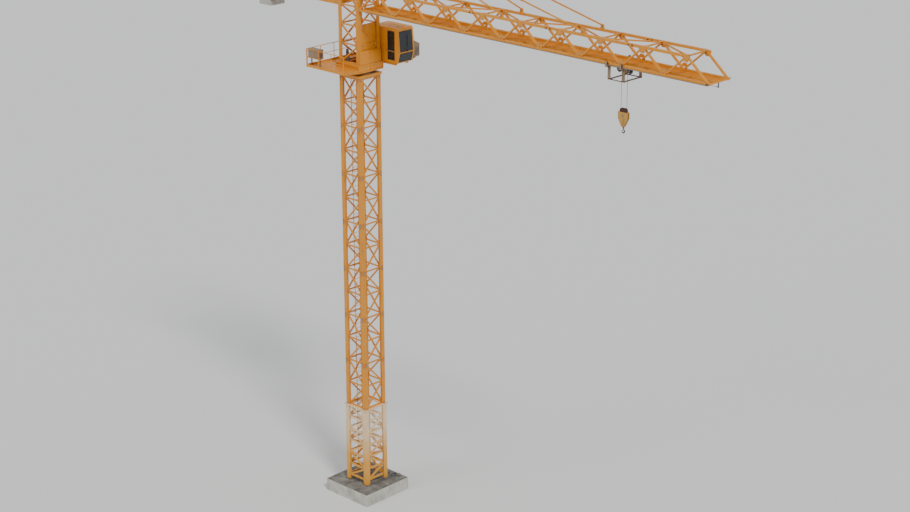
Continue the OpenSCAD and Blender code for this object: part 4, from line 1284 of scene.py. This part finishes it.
# Middles of the chords, and the top of the trolley's wheels with their clearance
CHORD_Y = JIB_HI.y - CHORD / 2
UPPER_Z = JIB_HI.z - CHORD / 2
LOWER_Z = JIB_LO.z + CHORD / 2
WHEEL_TOP = WHEELS_HI.z + 0.02


class CRANE_OT_jib(bpy.types.Operator):
    """Add the jib's gussets, splices, walkway grating, tip fittings and laid rope."""

    bl_idname = "crane.jib"
    bl_label = "Jib"

    def execute(self, context):
        sizes = context.scene.crane_sizes
        self.add_node_plates(sizes)
        self.splice_chords(sizes)
        self.lay_walkway(sizes)
        self.fit_ends(sizes)
        self.lay_rope()
        return {"FINISHED"}

    def add_node_plates(self, sizes):
        plates, bolts = bmesh.new(), bmesh.new()
        face = JIB_HI.y
        for side in (-1, 1):
            y = side * face
            for x in jib_nodes(sizes, "top"):
                z = JIB_HI.z - 0.03
                outline = [(-0.24, 0), (0.24, 0), (0.24, -0.14), (0.1, -0.34), (-0.1, -0.34),
                           (-0.24, -0.14)]
                add_plate(plates, standing((x, y, z), outline), Y * side * sizes.plate)
                add_bolts(bolts, (x, y + side * sizes.plate, z),
                          ((-0.19, -0.05), (0.19, -0.05), (-0.07, -0.28), (0.07, -0.28),
                           (-0.13, -0.18), (0.13, -0.18)), Y * side, sizes.bolt)
            for x in jib_nodes(sizes, "bottom")[1:-1]:
                z = WHEEL_TOP
                outline = [(-0.24, 0), (0.24, 0), (0.12, 0.2), (-0.12, 0.2)]
                add_plate(plates, standing((x, y, z), outline), Y * side * sizes.plate)
                add_bolts(bolts, (x, y + side * sizes.plate, z),
                          ((-0.13, 0.06), (0.13, 0.06), (-0.08, 0.15), (0.08, 0.15)),
                          Y * side, sizes.bolt)
        # Corner plates where the level bracing meets the top chords
        level = UPPER_Z + 0.04
        for x in jib_nodes(sizes, "top"):
            for side in (-1, 1):
                y = side * (JIB_HI.y - CHORD)
                outline = [(-0.2, 0), (0.2, 0), (0.05, 0.2), (-0.05, 0.2)]
                add_plate(plates, [(x + dx, y - side * dy, level) for dx, dy in outline],
                          Z * sizes.plate)
                for dx in (-0.1, 0.1):
                    add_bolt(bolts, (x + dx, y - side * 0.04, level + sizes.plate), Z,
                             sizes.bolt)
        make_piece("jib_gussets", plates, "slewing_top", "amber_machine_enamel")
        make_piece("jib_bolts", bolts, "slewing_top", "zinc_plated_bolts")

    def splice_chords(self, sizes):
        """Lugs and pins where the sections of the jib are joined, every other bay."""
        plates, pins = bmesh.new(), bmesh.new()
        bay = jib_bay(sizes)
        for i in range(1, sizes.jib_bays - 1, 2):
            x = JIB_FOOT + bay * i + 0.62
            for side in (-1, 1):
                # Lugs either side of the upper chord, and inside and on top of the lower one
                lugs = [(side * CHORD_Y + face * (CHORD / 2 + 0.01), UPPER_Z, 0.02, 0.11)
                        for face in (-1, 1)]
                lugs += [(side * (CHORD_Y - CHORD / 2 - 0.01), LOWER_Z, 0.02, 0.11),
                         (side * CHORD_Y, JIB_LO.z + CHORD + 0.008, 0.11, 0.016)]
                for y, z, width, depth in lugs:
                    add_bar(plates, (x - 0.22, y, z), (x + 0.22, y, z), width, depth)
                for step in (-0.13, 0.13):
                    add_pin(pins, (x + step, side * CHORD_Y, UPPER_Z), Y, sizes.pin / 2,
                            CHORD / 2 + 0.04)
                    add_pin(pins, (x + step, side * (CHORD_Y - 0.05), LOWER_Z), Y,
                            sizes.pin / 2, 0.06)
                # The seam between the sections
                rim = X * 0.006 + (Y + Z) * (CHORD / 2 + 0.003)
                centre = Vector((x, side * CHORD_Y, UPPER_Z))
                add_box(pins, centre - rim, centre + rim)
        make_piece("chord_splices", plates, "slewing_top", "amber_machine_enamel")
        make_piece("splice_pins", pins, "slewing_top", "greased_steel")

    def lay_walkway(self, sizes):
        grating = bmesh.new()
        half = 0.45
        add_grating(grating, Vector((JIB_FOOT, -half)), Vector((JIB_END, half)), FLOOR_HI.z,
                    sizes)
        # Toe boards
        z = FLOOR_HI.z + 0.04
        for y in (-half, half):
            add_bar(grating, (JIB_FOOT, y, z), (JIB_END, y, z), 0.01, 0.09)
        make_piece("jib_walkway_grating", grating, "slewing_top", "amber_machine_enamel")

    def fit_ends(self, sizes):
        steel, dark = bmesh.new(), bmesh.new()
        for side in (-1, 1):
            for z in (LOWER_Z, UPPER_Z):
                add_pin(steel, (JIB_FOOT + 0.03, side * CHORD_Y, z), Y, sizes.pin / 2,
                        CHORD / 2 + 0.03)
            # Rubber buffers that stop the trolley at the tip
            x, y, z = JIB_END + 0.02, side * (JIB_HI.y + 0.05), JIB_LO.z + 0.08
            add_turned(dark, (x, y, z), -X,
                       [(0, 0.045), (0.05, 0.045), (0.07, 0.035), (0.1, 0.03)], 16)
            add_box(steel, (x, y - 0.05, z - 0.05), (x + 0.015, y + 0.05, z + 0.05))
            add_box(steel, (x, y - 0.05, z - 0.02),
                    (x + 0.015, side * JIB_HI.y + 0.05, z + 0.02))
        make_piece("jib_end_fittings", steel, "slewing_top", "galvanised_steel")
        make_piece("buffers", dark, "slewing_top", "window_rubber")

    def lay_rope(self):
        rope = bmesh.new()
        z = ROPE_LO.z + ROPE / 2
        end = 0.04  # the rope starts and ends inside its sockets
        # The lay is drawn coarser than a real rope's, so that it can be seen from afar
        add_laid_rope(rope, (ROPE_LO.x + end, 0, z), (ROPE_HI.x - end, 0, z), ROPE, 4, 6, 10)
        for x, way in ((ROPE_LO.x, 1), (ROPE_HI.x, -1)):
            add_box(rope, (x, -0.02, z - 0.03), (x + way * 0.05, 0.02, FLOOR_LO.z))
            add_turned(rope, (x + way * 0.05, 0, z), X * way,
                       [(0, 0.028), (0.06, 0.028), (0.1, 0.016)], 12)
        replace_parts(make_piece("trolley_rope", rope, "slewing_top", "wire_rope_steel"),
                    "jib_rope")


class CRANE_OT_counter_jib(bpy.types.Operator):
    """Add the counter-jib's grating, handrail, stiffeners, drum rope and ballast fittings."""

    bl_idname = "crane.counter_jib"
    bl_label = "Counter-jib"

    def execute(self, context):
        sizes = context.scene.crane_sizes
        grating, rail = bmesh.new(), bmesh.new()
        for x0, x1 in ((CDECK_LO.x, WINCH_LO.x - 0.03), (WINCH_HI.x + 0.03, CDECK_HI.x)):
            add_grating(grating, (x0, CDECK_LO.y), (x1, CDECK_HI.y), CDECK_HI.z, sizes)
        make_piece("counter_jib_grating", grating, "slewing_top", "galvanised_steel")
        height = CRAIL_HI.z - CRAIL_LO.z
        for side in (-1, 1):
            y = side * (CRAIL_HI.y - 0.02)
            add_handrail(rail, (CRAIL_LO.x, y, CRAIL_LO.z), (CRAIL_HI.x, y, CRAIL_LO.z), height,
                         sizes)
        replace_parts(make_piece("counter_jib_handrail", rail, "slewing_top",
                               "amber_machine_enamel"), "counter_jib_railing")
        self.stiffen_beams(sizes)
        self.wind_winch()
        self.fit_ballast()
        return {"FINISHED"}

    def stiffen_beams(self, sizes):
        plates, bolts = bmesh.new(), bmesh.new()
        half = sizes.plate / 2
        count = 9
        for i in range(count + 1):
            x = BEAM_LO.x + 0.25 + (BEAM_HI.x - BEAM_LO.x - 0.5) * i / count
            if BALLAST_LO.x - 0.05 < x < BALLAST_HI.x + 0.05:
                continue
            for side in (-1, 1):
                add_box(plates, (x - half, side * BEAM_HI.y, BEAM_LO.z + 0.02),
                        (x + half, side * (BEAM_HI.y + 0.03), BEAM_HI.z - 0.02))
        for side in (-1, 1):
            # Splice plate in the middle of each beam
            x = (BEAM_LO.x + BEAM_HI.x) / 2 + 0.1
            y = side * BEAM_HI.y
            low, high = BEAM_LO.z + 0.03, BEAM_HI.z - 0.03
            add_plate(plates, upright(x - 0.25, low, x + 0.25, high, y), Y * side * sizes.plate)
            for dx in (-0.2, -0.08, 0.08, 0.2):
                for z in (low + 0.05, high - 0.05):
                    add_bolt(bolts, (x + dx, y + side * sizes.plate, z), Y * side, sizes.bolt)
            add_pin(bolts, (BEAM_HI.x - 0.06, side * (BEAM_HI.y - 0.03), BEAM_LO.z + 0.15), Y,
                    sizes.pin * 0.7, 0.06)
        make_piece("beam_stiffeners", plates, "slewing_top", "amber_machine_enamel")
        make_piece("beam_bolts", bolts, "slewing_top", "zinc_plated_bolts")

    def wind_winch(self):
        rope, cases = bmesh.new(), bmesh.new()
        axis = Vector(((WINCH_LO.x + WINCH_HI.x) / 2, 0, WINCH_HI.z - 0.26))
        turns, steps, width, radius = 24, 20, 0.76, 0.212
        path = []
        for i in range(turns * steps + 1):
            angle = 2 * math.pi * i / steps
            path.append(axis + Y * width * (i / (turns * steps) - 0.5)
                        + (X * math.cos(angle) + Z * math.sin(angle)) * radius)
        add_tube(rope, path, 0.013, 6)
        add_pin(cases, axis, Y, 0.05, 0.52)
        make_piece("drum_rope", rope, "slewing_top", "wire_rope_steel")
        # Fins round the motor, and its terminal box
        motor = Vector((WINCH_LO.x + 0.17, 0.16, WINCH_LO.z + 0.27))
        for way in ways_round(12, X, Z):
            fin = motor + way * 0.15
            add_bar(cases, fin - Y * 0.2, fin + Y * 0.2, 0.008, 0.03, way)
        add_box(cases, motor + Vector((-0.09, -0.07, 0.14)), motor + Vector((0.09, 0.09, 0.23)))
        make_piece("winch_fittings", cases, "slewing_top", "grey_machine_enamel")

    def fit_ballast(self):
        """Lifting eyes in the top of each block, and the ends of the rods that tie them."""
        steel = bmesh.new()
        count = 3
        gap = 0.015
        wide = (BALLAST_HI.x - BALLAST_LO.x - gap * (count - 1)) / count
        for i in range(count):
            x = BALLAST_LO.x + (wide + gap) * i + wide / 2
            for side in (-1, 1):
                y = side * 0.4
                angles = [a * math.pi / 8 for a in range(9)]
                arc = [(x, y + 0.06 * math.cos(a), BALLAST_HI.z + 0.07 * math.sin(a))
                       for a in angles]
                add_tube(steel, arc, 0.014)
        for x in (BALLAST_LO.x, BALLAST_HI.x):
            way = math.copysign(1, x - (BALLAST_LO.x + BALLAST_HI.x) / 2)
            for side in (-1, 1):
                for z in (BALLAST_LO.z + 0.35, BALLAST_HI.z - 0.35):
                    add_turned(steel, (x, side * 0.5, z), X * way,
                               [(0, 0.06), (0.012, 0.06), (0.012, 0.03), (0.05, 0.03)], 12)
        make_piece("ballast_fittings", steel, "slewing_top", "galvanised_steel")


# Pieces of the trolley, hook block and hook


def add_grooved_sheave(shape, centre, rim, width):
    """A rope sheave: rims either side of a groove, with a dished web and a hub."""
    hub = rim * 0.28
    half = width / 2
    depth = rim * 0.13
    add_turned(shape, Vector(centre) - Y * (half + 0.006), Y,
               [(0, hub), (0.006, hub), (0.012, hub * 1.05), (0.014, rim * 0.72),
                (0.006, rim * 0.8), (0.006, rim), (width * 0.2, rim),
                (width * 0.42, rim - depth), (width * 0.68, rim - depth),
                (width * 0.9, rim), (width + 0.006, rim), (width + 0.006, rim * 0.8),
                (width - 0.002, rim * 0.72), (width, hub * 1.05),
                (width + 0.006, hub), (width + 0.012, hub)], 40)


# Places on the trolley: x and y from its middle, and heights
SHEAVE_AT = 0.3546
SHEAVE_Z = SHEAVES_LO.z + 0.15
CORNER_X = TROLLEY_HI.x - TROLLEY_X - 0.095
HANGER_Y = 0.724
RING_TOP = TROLLEY_LO.z + 0.05
WHEEL_AXIS_Z = WHEELS_LO.z + 0.096
SHELF_Z = TROLLEY_LO.z + 0.72
SMALL_BOLT = 0.022


class CRANE_OT_trolley(bpy.types.Operator):
    """Add the trolley's sheaves, hub caps, bolts and stiffeners, and reeve its falls."""

    bl_idname = "crane.trolley"
    bl_label = "Trolley"

    def execute(self, context):
        sizes = context.scene.crane_sizes
        sheaves, caps, plates = bmesh.new(), bmesh.new(), bmesh.new()
        for end in (-1, 1):
            hub = Vector((TROLLEY_X + end * SHEAVE_AT, 0, SHEAVE_Z))
            add_grooved_sheave(sheaves, hub, 0.172, 0.05)
            for side in (-1, 1):
                top = TROLLEY_LO.z + 0.75 - hub.z
                outline = [(-0.08, top), (0.08, top), (0.06, -0.04), (0, -0.07), (-0.06, -0.04)]
                add_plate(sheaves, standing((hub.x, side * 0.038, hub.z), outline),
                          Y * side * 0.014)
            add_pin(caps, hub, Y, 0.026, 0.09)
            for side in (-1, 1):
                wheel = (TROLLEY_X + end * CORNER_X, side * TROLLEY_HI.y, WHEEL_AXIS_Z)
                add_turned(caps, wheel, Y * side, [(0, 0.042), (0.012, 0.042), (0.018, 0.034),
                                                   (0.03, 0.03), (0.034, 0.018)], 20)
                add_bolts(caps, wheel,
                          ((-0.035, -0.1), (0.035, -0.1), (-0.035, -0.17), (0.035, -0.17)),
                          Y * side, SMALL_BOLT)
                self.stiffen_corner(plates, caps, end, side, sizes)
        self.box_ring(plates, caps)
        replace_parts(make_piece("grooved_sheaves", sheaves, "trolley", "greased_steel",
                               round_angle=30), "trolley_sheaves")
        make_piece("trolley_bolts", caps, "trolley", "zinc_plated_bolts")
        make_piece("trolley_stiffeners", plates, "trolley", "trolley_enamel")
        self.reeve_falls()
        return {"FINISHED"}

    def stiffen_corner(self, plates, bolts, end, side, sizes):
        """A knee between the shelf and the hanger, and the hanger's bolts."""
        x = TROLLEY_X + end * CORNER_X
        y = side * HANGER_Y
        start = x - sizes.plate / 2
        add_plate(plates, [(start, y, SHELF_Z), (start, y + side * 0.16, SHELF_Z),
                           (start, y, SHELF_Z - 0.16)], X * sizes.plate)
        for z in (SHELF_Z - 0.26, SHELF_Z - 0.36, TROLLEY_LO.z + 0.1):
            add_bolts(bolts, (x, y, z), ((-0.06, 0), (0.06, 0)), Y * side, SMALL_BOLT)

    def box_ring(self, plates, bolts):
        """Flanges along the lower ring, and a bolted splice in the middle of each side."""
        for side in (-1, 1):
            y = side * HANGER_Y
            add_box(plates, (TROLLEY_LO.x + 0.05, y, RING_TOP - 0.008),
                    (TROLLEY_HI.x - 0.05, y + side * 0.03, RING_TOP))
            add_box(plates, (TROLLEY_X - 0.12, y, TROLLEY_LO.z + 0.004),
                    (TROLLEY_X + 0.12, y + side * 0.01, RING_TOP - 0.01))
            add_bolts(bolts, (TROLLEY_X, y + side * 0.01, (TROLLEY_LO.z + RING_TOP) / 2),
                      ((-0.08, 0), (-0.03, 0), (0.03, 0), (0.08, 0)), Y * side, 0.02)

    def reeve_falls(self):
        falls = bmesh.new()
        for end in (-1, 1):
            x = TROLLEY_X + end * (FALLS_HI.x - TROLLEY_X - 0.01)
            # Four strands with few turns: lowering the hook stretches them many times over
            add_laid_rope(falls, (x, 0, FALLS_HI.z), (x, 0, FALLS_LO.z), ROPE, 4, 8, 10)
        piece = make_piece("hoist_falls", falls, None, "wire_rope_steel")
        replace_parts(piece, "hoist_ropes")
        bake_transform(piece)


class CRANE_OT_hook_block(bpy.types.Operator):
    """Add the hook block's sheave, cheek weights, rope guard and bolts, and its hook."""

    bl_idname = "crane.hook_block"
    bl_label = "Hook block"

    def execute(self, context):
        sheave, bolts, cheeks, guard = (bmesh.new() for _ in range(4))
        face = BLOCK_HI.y + CHEEK  # where the bolts sit
        hub = Vector((TROLLEY_X, 0, FALLS_LO.z))
        add_grooved_sheave(sheave, hub, 0.2, 0.05)
        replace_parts(make_piece("block_grooved_sheave", sheave, "hook_block", "greased_steel",
                               round_angle=30), "block_sheave")
        half = BLOCK_HI.x - TROLLEY_X
        corners = [(x * (half - 0.05), z) for z in (-0.06, -0.32) for x in (-1, 1)]
        for side in (-1, 1):
            y = side * face
            add_turned(bolts, hub + Y * y, Y * side, [(0, 0.06), (0.012, 0.06), (0.012, 0.045),
                                                      (0.04, 0.045), (0.044, 0.03)], 6)
            add_bolts(bolts, (TROLLEY_X, y, BLOCK_HI.z), [*corners, (0, -0.72)], Y * side, 0.036)
            # Thick cheek weights, with a chamfer all round, that keep the rope taut
            outline = [(half, 0), (half, 0.36), (-half, 0.36), (-half, 0), (-0.07, -0.46),
                       (0.07, -0.46)]
            add_solid(cheeks, [standing((TROLLEY_X, side * (BLOCK_HI.y + out), BLOCK_HI.z - 0.36),
                                        [(x * share, z * share) for x, z in outline])
                               for out, share in ((0.0, 0.97), (CHEEK - 0.018, 0.97),
                                                  (CHEEK, 0.9))])
        # Spacers between the cheeks, clear of the sheave
        for dx, dz in corners:
            at = Vector((TROLLEY_X + dx, 0, BLOCK_HI.z + dz))
            add_rod(bolts, at - Y * BLOCK_HI.y, at + Y * BLOCK_HI.y, 0.016)
        self.guard_ropes(guard, half)
        make_piece("block_bolts", bolts, "hook_block", "zinc_plated_bolts")
        make_piece("cheek_weights", cheeks, "hook_block", "hook_block_enamel", bevel=0.006)
        make_piece("rope_guard", guard, "hook_block", "red_oxide_primer")
        self.forge_hook()
        return {"FINISHED"}

    def guard_ropes(self, guard, half):
        """Two plates either side of the falls that keep the rope in its groove."""
        top = BLOCK_HI.z
        reach = half * 0.72
        for side in (-1, 1):
            y = side * 0.05
            outline = [(-reach, -0.02), (reach, -0.02), (reach, 0.12), (reach - 0.06, 0.2),
                       (0.06 - reach, 0.2), (-reach, 0.12)]
            add_plate(guard, standing((TROLLEY_X, y, top), outline), Y * side * 0.012)
        for x in (-reach + 0.03, reach - 0.03, 0):
            middle = Vector((TROLLEY_X + x, 0, top + 0.1))
            add_rod(guard, middle - Y * 0.055, middle + Y * 0.055, 0.016)

    def forge_hook(self):
        """A swivel nut, shank and curved hook, thick at its bowl and thin at its tip."""
        hook, latch = bmesh.new(), bmesh.new()
        top = HOOK_HI.z
        centre = Vector((TROLLEY_X, 0, HOOK_LO.z + 0.12))
        add_turned(hook, (TROLLEY_X, 0, top), -Z, [(0, 0.035), (0.02, 0.05), (0.05, 0.05),
                                                   (0.06, 0.034), (0.1, 0.03)], 20)
        path = [Vector((TROLLEY_X, 0, top - 0.08)), Vector((TROLLEY_X, 0, top - 0.13)),
                Vector((TROLLEY_X + 0.03, 0, top - 0.165))]
        radius = 0.086
        for i in range(15):
            angle = math.radians(60 - 17 * i)
            path.append(centre + (X * math.cos(angle) + Z * math.sin(angle)) * radius)
        path.append(centre + Vector((-0.105, 0, 0.06)))
        taper = [0.9, 0.85, 0.85] + [0.8 + 0.2 * math.sin(math.pi * i / 14) for i in range(15)]
        taper[-4:] = [0.8, 0.72, 0.62, 0.5]
        add_tube(hook, path, 0.034, 14, taper + [0.28])
        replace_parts(make_piece("forged_hook", hook, "hook", "greased_steel", round_angle=50),
                    "hook")
        outline = [(0.0, 0.075), (0.02, 0.055), (-0.085, 0.0), (-0.092, 0.018)]
        add_plate(latch, standing((TROLLEY_X, -0.014, centre.z), outline), Y * 0.028)
        make_piece("hook_latch", latch, "hook", "zinc_plated_bolts", bevel=0.003)


# Stage: the camera that took the picture, soft studio light and a plain floor

CAMERA_PLACE = Vector((82.354, -77.788, 56.011))
CAMERA_HEADING = math.radians(43.775)
CAMERA_TILT = math.radians(90 - 19.53)
CAMERA_ROLL = math.radians(-0.11)
FOCAL_PIXELS = 1948.4
IMAGE_WIDTH = 910
SENSOR_WIDTH = 36.0


class CRANE_OT_stage(bpy.types.Operator):
    """Place the camera, the studio light and the floor."""

    bl_idname = "crane.stage"
    bl_label = "Stage"

    def execute(self, context):
        scene = context.scene
        self.place_camera(scene)
        self.lay_floor(scene)
        self.add_lamp(scene, "key_lamp", 1.9, 12, Vector((0.55, -0.25, 0.62)))
        self.add_lamp(scene, "fill_lamp", 0.7, 30, Vector((-0.2, -0.75, 0.45)))
        self.light_world(scene)
        return {"FINISHED"}

    def place_camera(self, scene):
        lens = bpy.data.cameras.new("camera")
        lens.sensor_width = SENSOR_WIDTH
        lens.lens = SENSOR_WIDTH * FOCAL_PIXELS / IMAGE_WIDTH
        lens.clip_end = 5000
        camera = bpy.data.objects.new("camera", lens)
        camera.matrix_world = (Matrix.Translation(CAMERA_PLACE)
                               @ Matrix.Rotation(CAMERA_HEADING, 4, "Z")
                               @ Matrix.Rotation(CAMERA_TILT, 4, "X")
                               @ Matrix.Rotation(CAMERA_ROLL, 4, "Z"))
        scene.collection.objects.link(camera)
        scene.camera = camera

    def lay_floor(self, scene):
        material = bpy.data.materials.new("studio_floor")
        material.use_nodes = True
        tree = material.node_tree
        feed(tree, tree.nodes["Principled BSDF"],
             {"Base Color": scene.crane_colours.floor, "Roughness": 0.9})
        shape = bmesh.new()
        add_box(shape, (-1500, -1500, -0.2), (1500, 1500, -0.002))
        make_object("studio_floor", shape, "studio_floor")

    def add_lamp(self, scene, name, strength, softness, towards):
        lamp = bpy.data.lights.new(name, "SUN")
        lamp.energy = strength
        lamp.angle = math.radians(softness)
        holder = bpy.data.objects.new(name, lamp)
        holder.rotation_euler = towards.to_track_quat("Z", "Y").to_euler()
        scene.collection.objects.link(holder)

    def light_world(self, scene):
        world = bpy.data.worlds.new("studio_air")
        world.use_nodes = True
        scene.world = world
        tree = world.node_tree
        air = tree.nodes["Background"]
        feed(tree, air, {"Color": (0.92, 0.95, 1.0), "Strength": 0.55})
        backdrop = add_node(tree, "ShaderNodeBackground",
                            {"Color": (0.93, 0.93, 0.92), "Strength": 0.95})
        seen = add_node(tree, "ShaderNodeLightPath", {}, "Is Camera Ray")
        # Rays that mirror and glass send on see the same backdrop as the camera
        for kind in ("Is Glossy Ray", "Is Transmission Ray"):
            ray = add_node(tree, "ShaderNodeLightPath", {}, kind)
            seen = add_node(tree, "ShaderNodeMath", {0: seen, 1: ray}, operation="MAXIMUM")
        both = add_node(tree, "ShaderNodeMixShader",
                        {0: seen, 1: air.outputs[0], 2: backdrop})
        tree.links.new(both, tree.nodes["World Output"].inputs["Surface"])


class CRANE_PT_panel(bpy.types.Panel):
    """Lists the crane's sizes, colours and pieces."""

    bl_label = "Tower crane"
    bl_idname = "CRANE_PT_panel"
    bl_space_type = "VIEW_3D"
    bl_region_type = "UI"
    bl_category = "Crane"

    def draw(self, context):
        layout = self.layout
        for group in (context.scene.crane_sizes, context.scene.crane_colours):
            box = layout.box()
            for key in group.__annotations__:
                box.prop(group, key)
        for operator in OPERATORS:
            layout.operator(operator.bl_idname)


OPERATORS = [CRANE_OT_finishes, CRANE_OT_footing, CRANE_OT_base, CRANE_OT_mast,
             CRANE_OT_slewing_ring, CRANE_OT_deck, CRANE_OT_head, CRANE_OT_ties, CRANE_OT_cab,
             CRANE_OT_jib, CRANE_OT_counter_jib, CRANE_OT_trolley, CRANE_OT_hook_block,
             CRANE_OT_stage]
CLASSES = [CraneColours, CraneSizes, *OPERATORS, CRANE_PT_panel]


def register():
    for cls in CLASSES:
        bpy.utils.register_class(cls)
    bpy.types.Scene.crane_colours = PointerProperty(type=CraneColours)
    bpy.types.Scene.crane_sizes = PointerProperty(type=CraneSizes)


def unregister():
    del bpy.types.Scene.crane_sizes
    del bpy.types.Scene.crane_colours
    for cls in reversed(CLASSES):
        bpy.utils.unregister_class(cls)


def main():
    register()
    for operator in OPERATORS:
        group, name = operator.bl_idname.split(".")
        getattr(getattr(bpy.ops, group), name)()


if __name__ == "__main__":
    main()
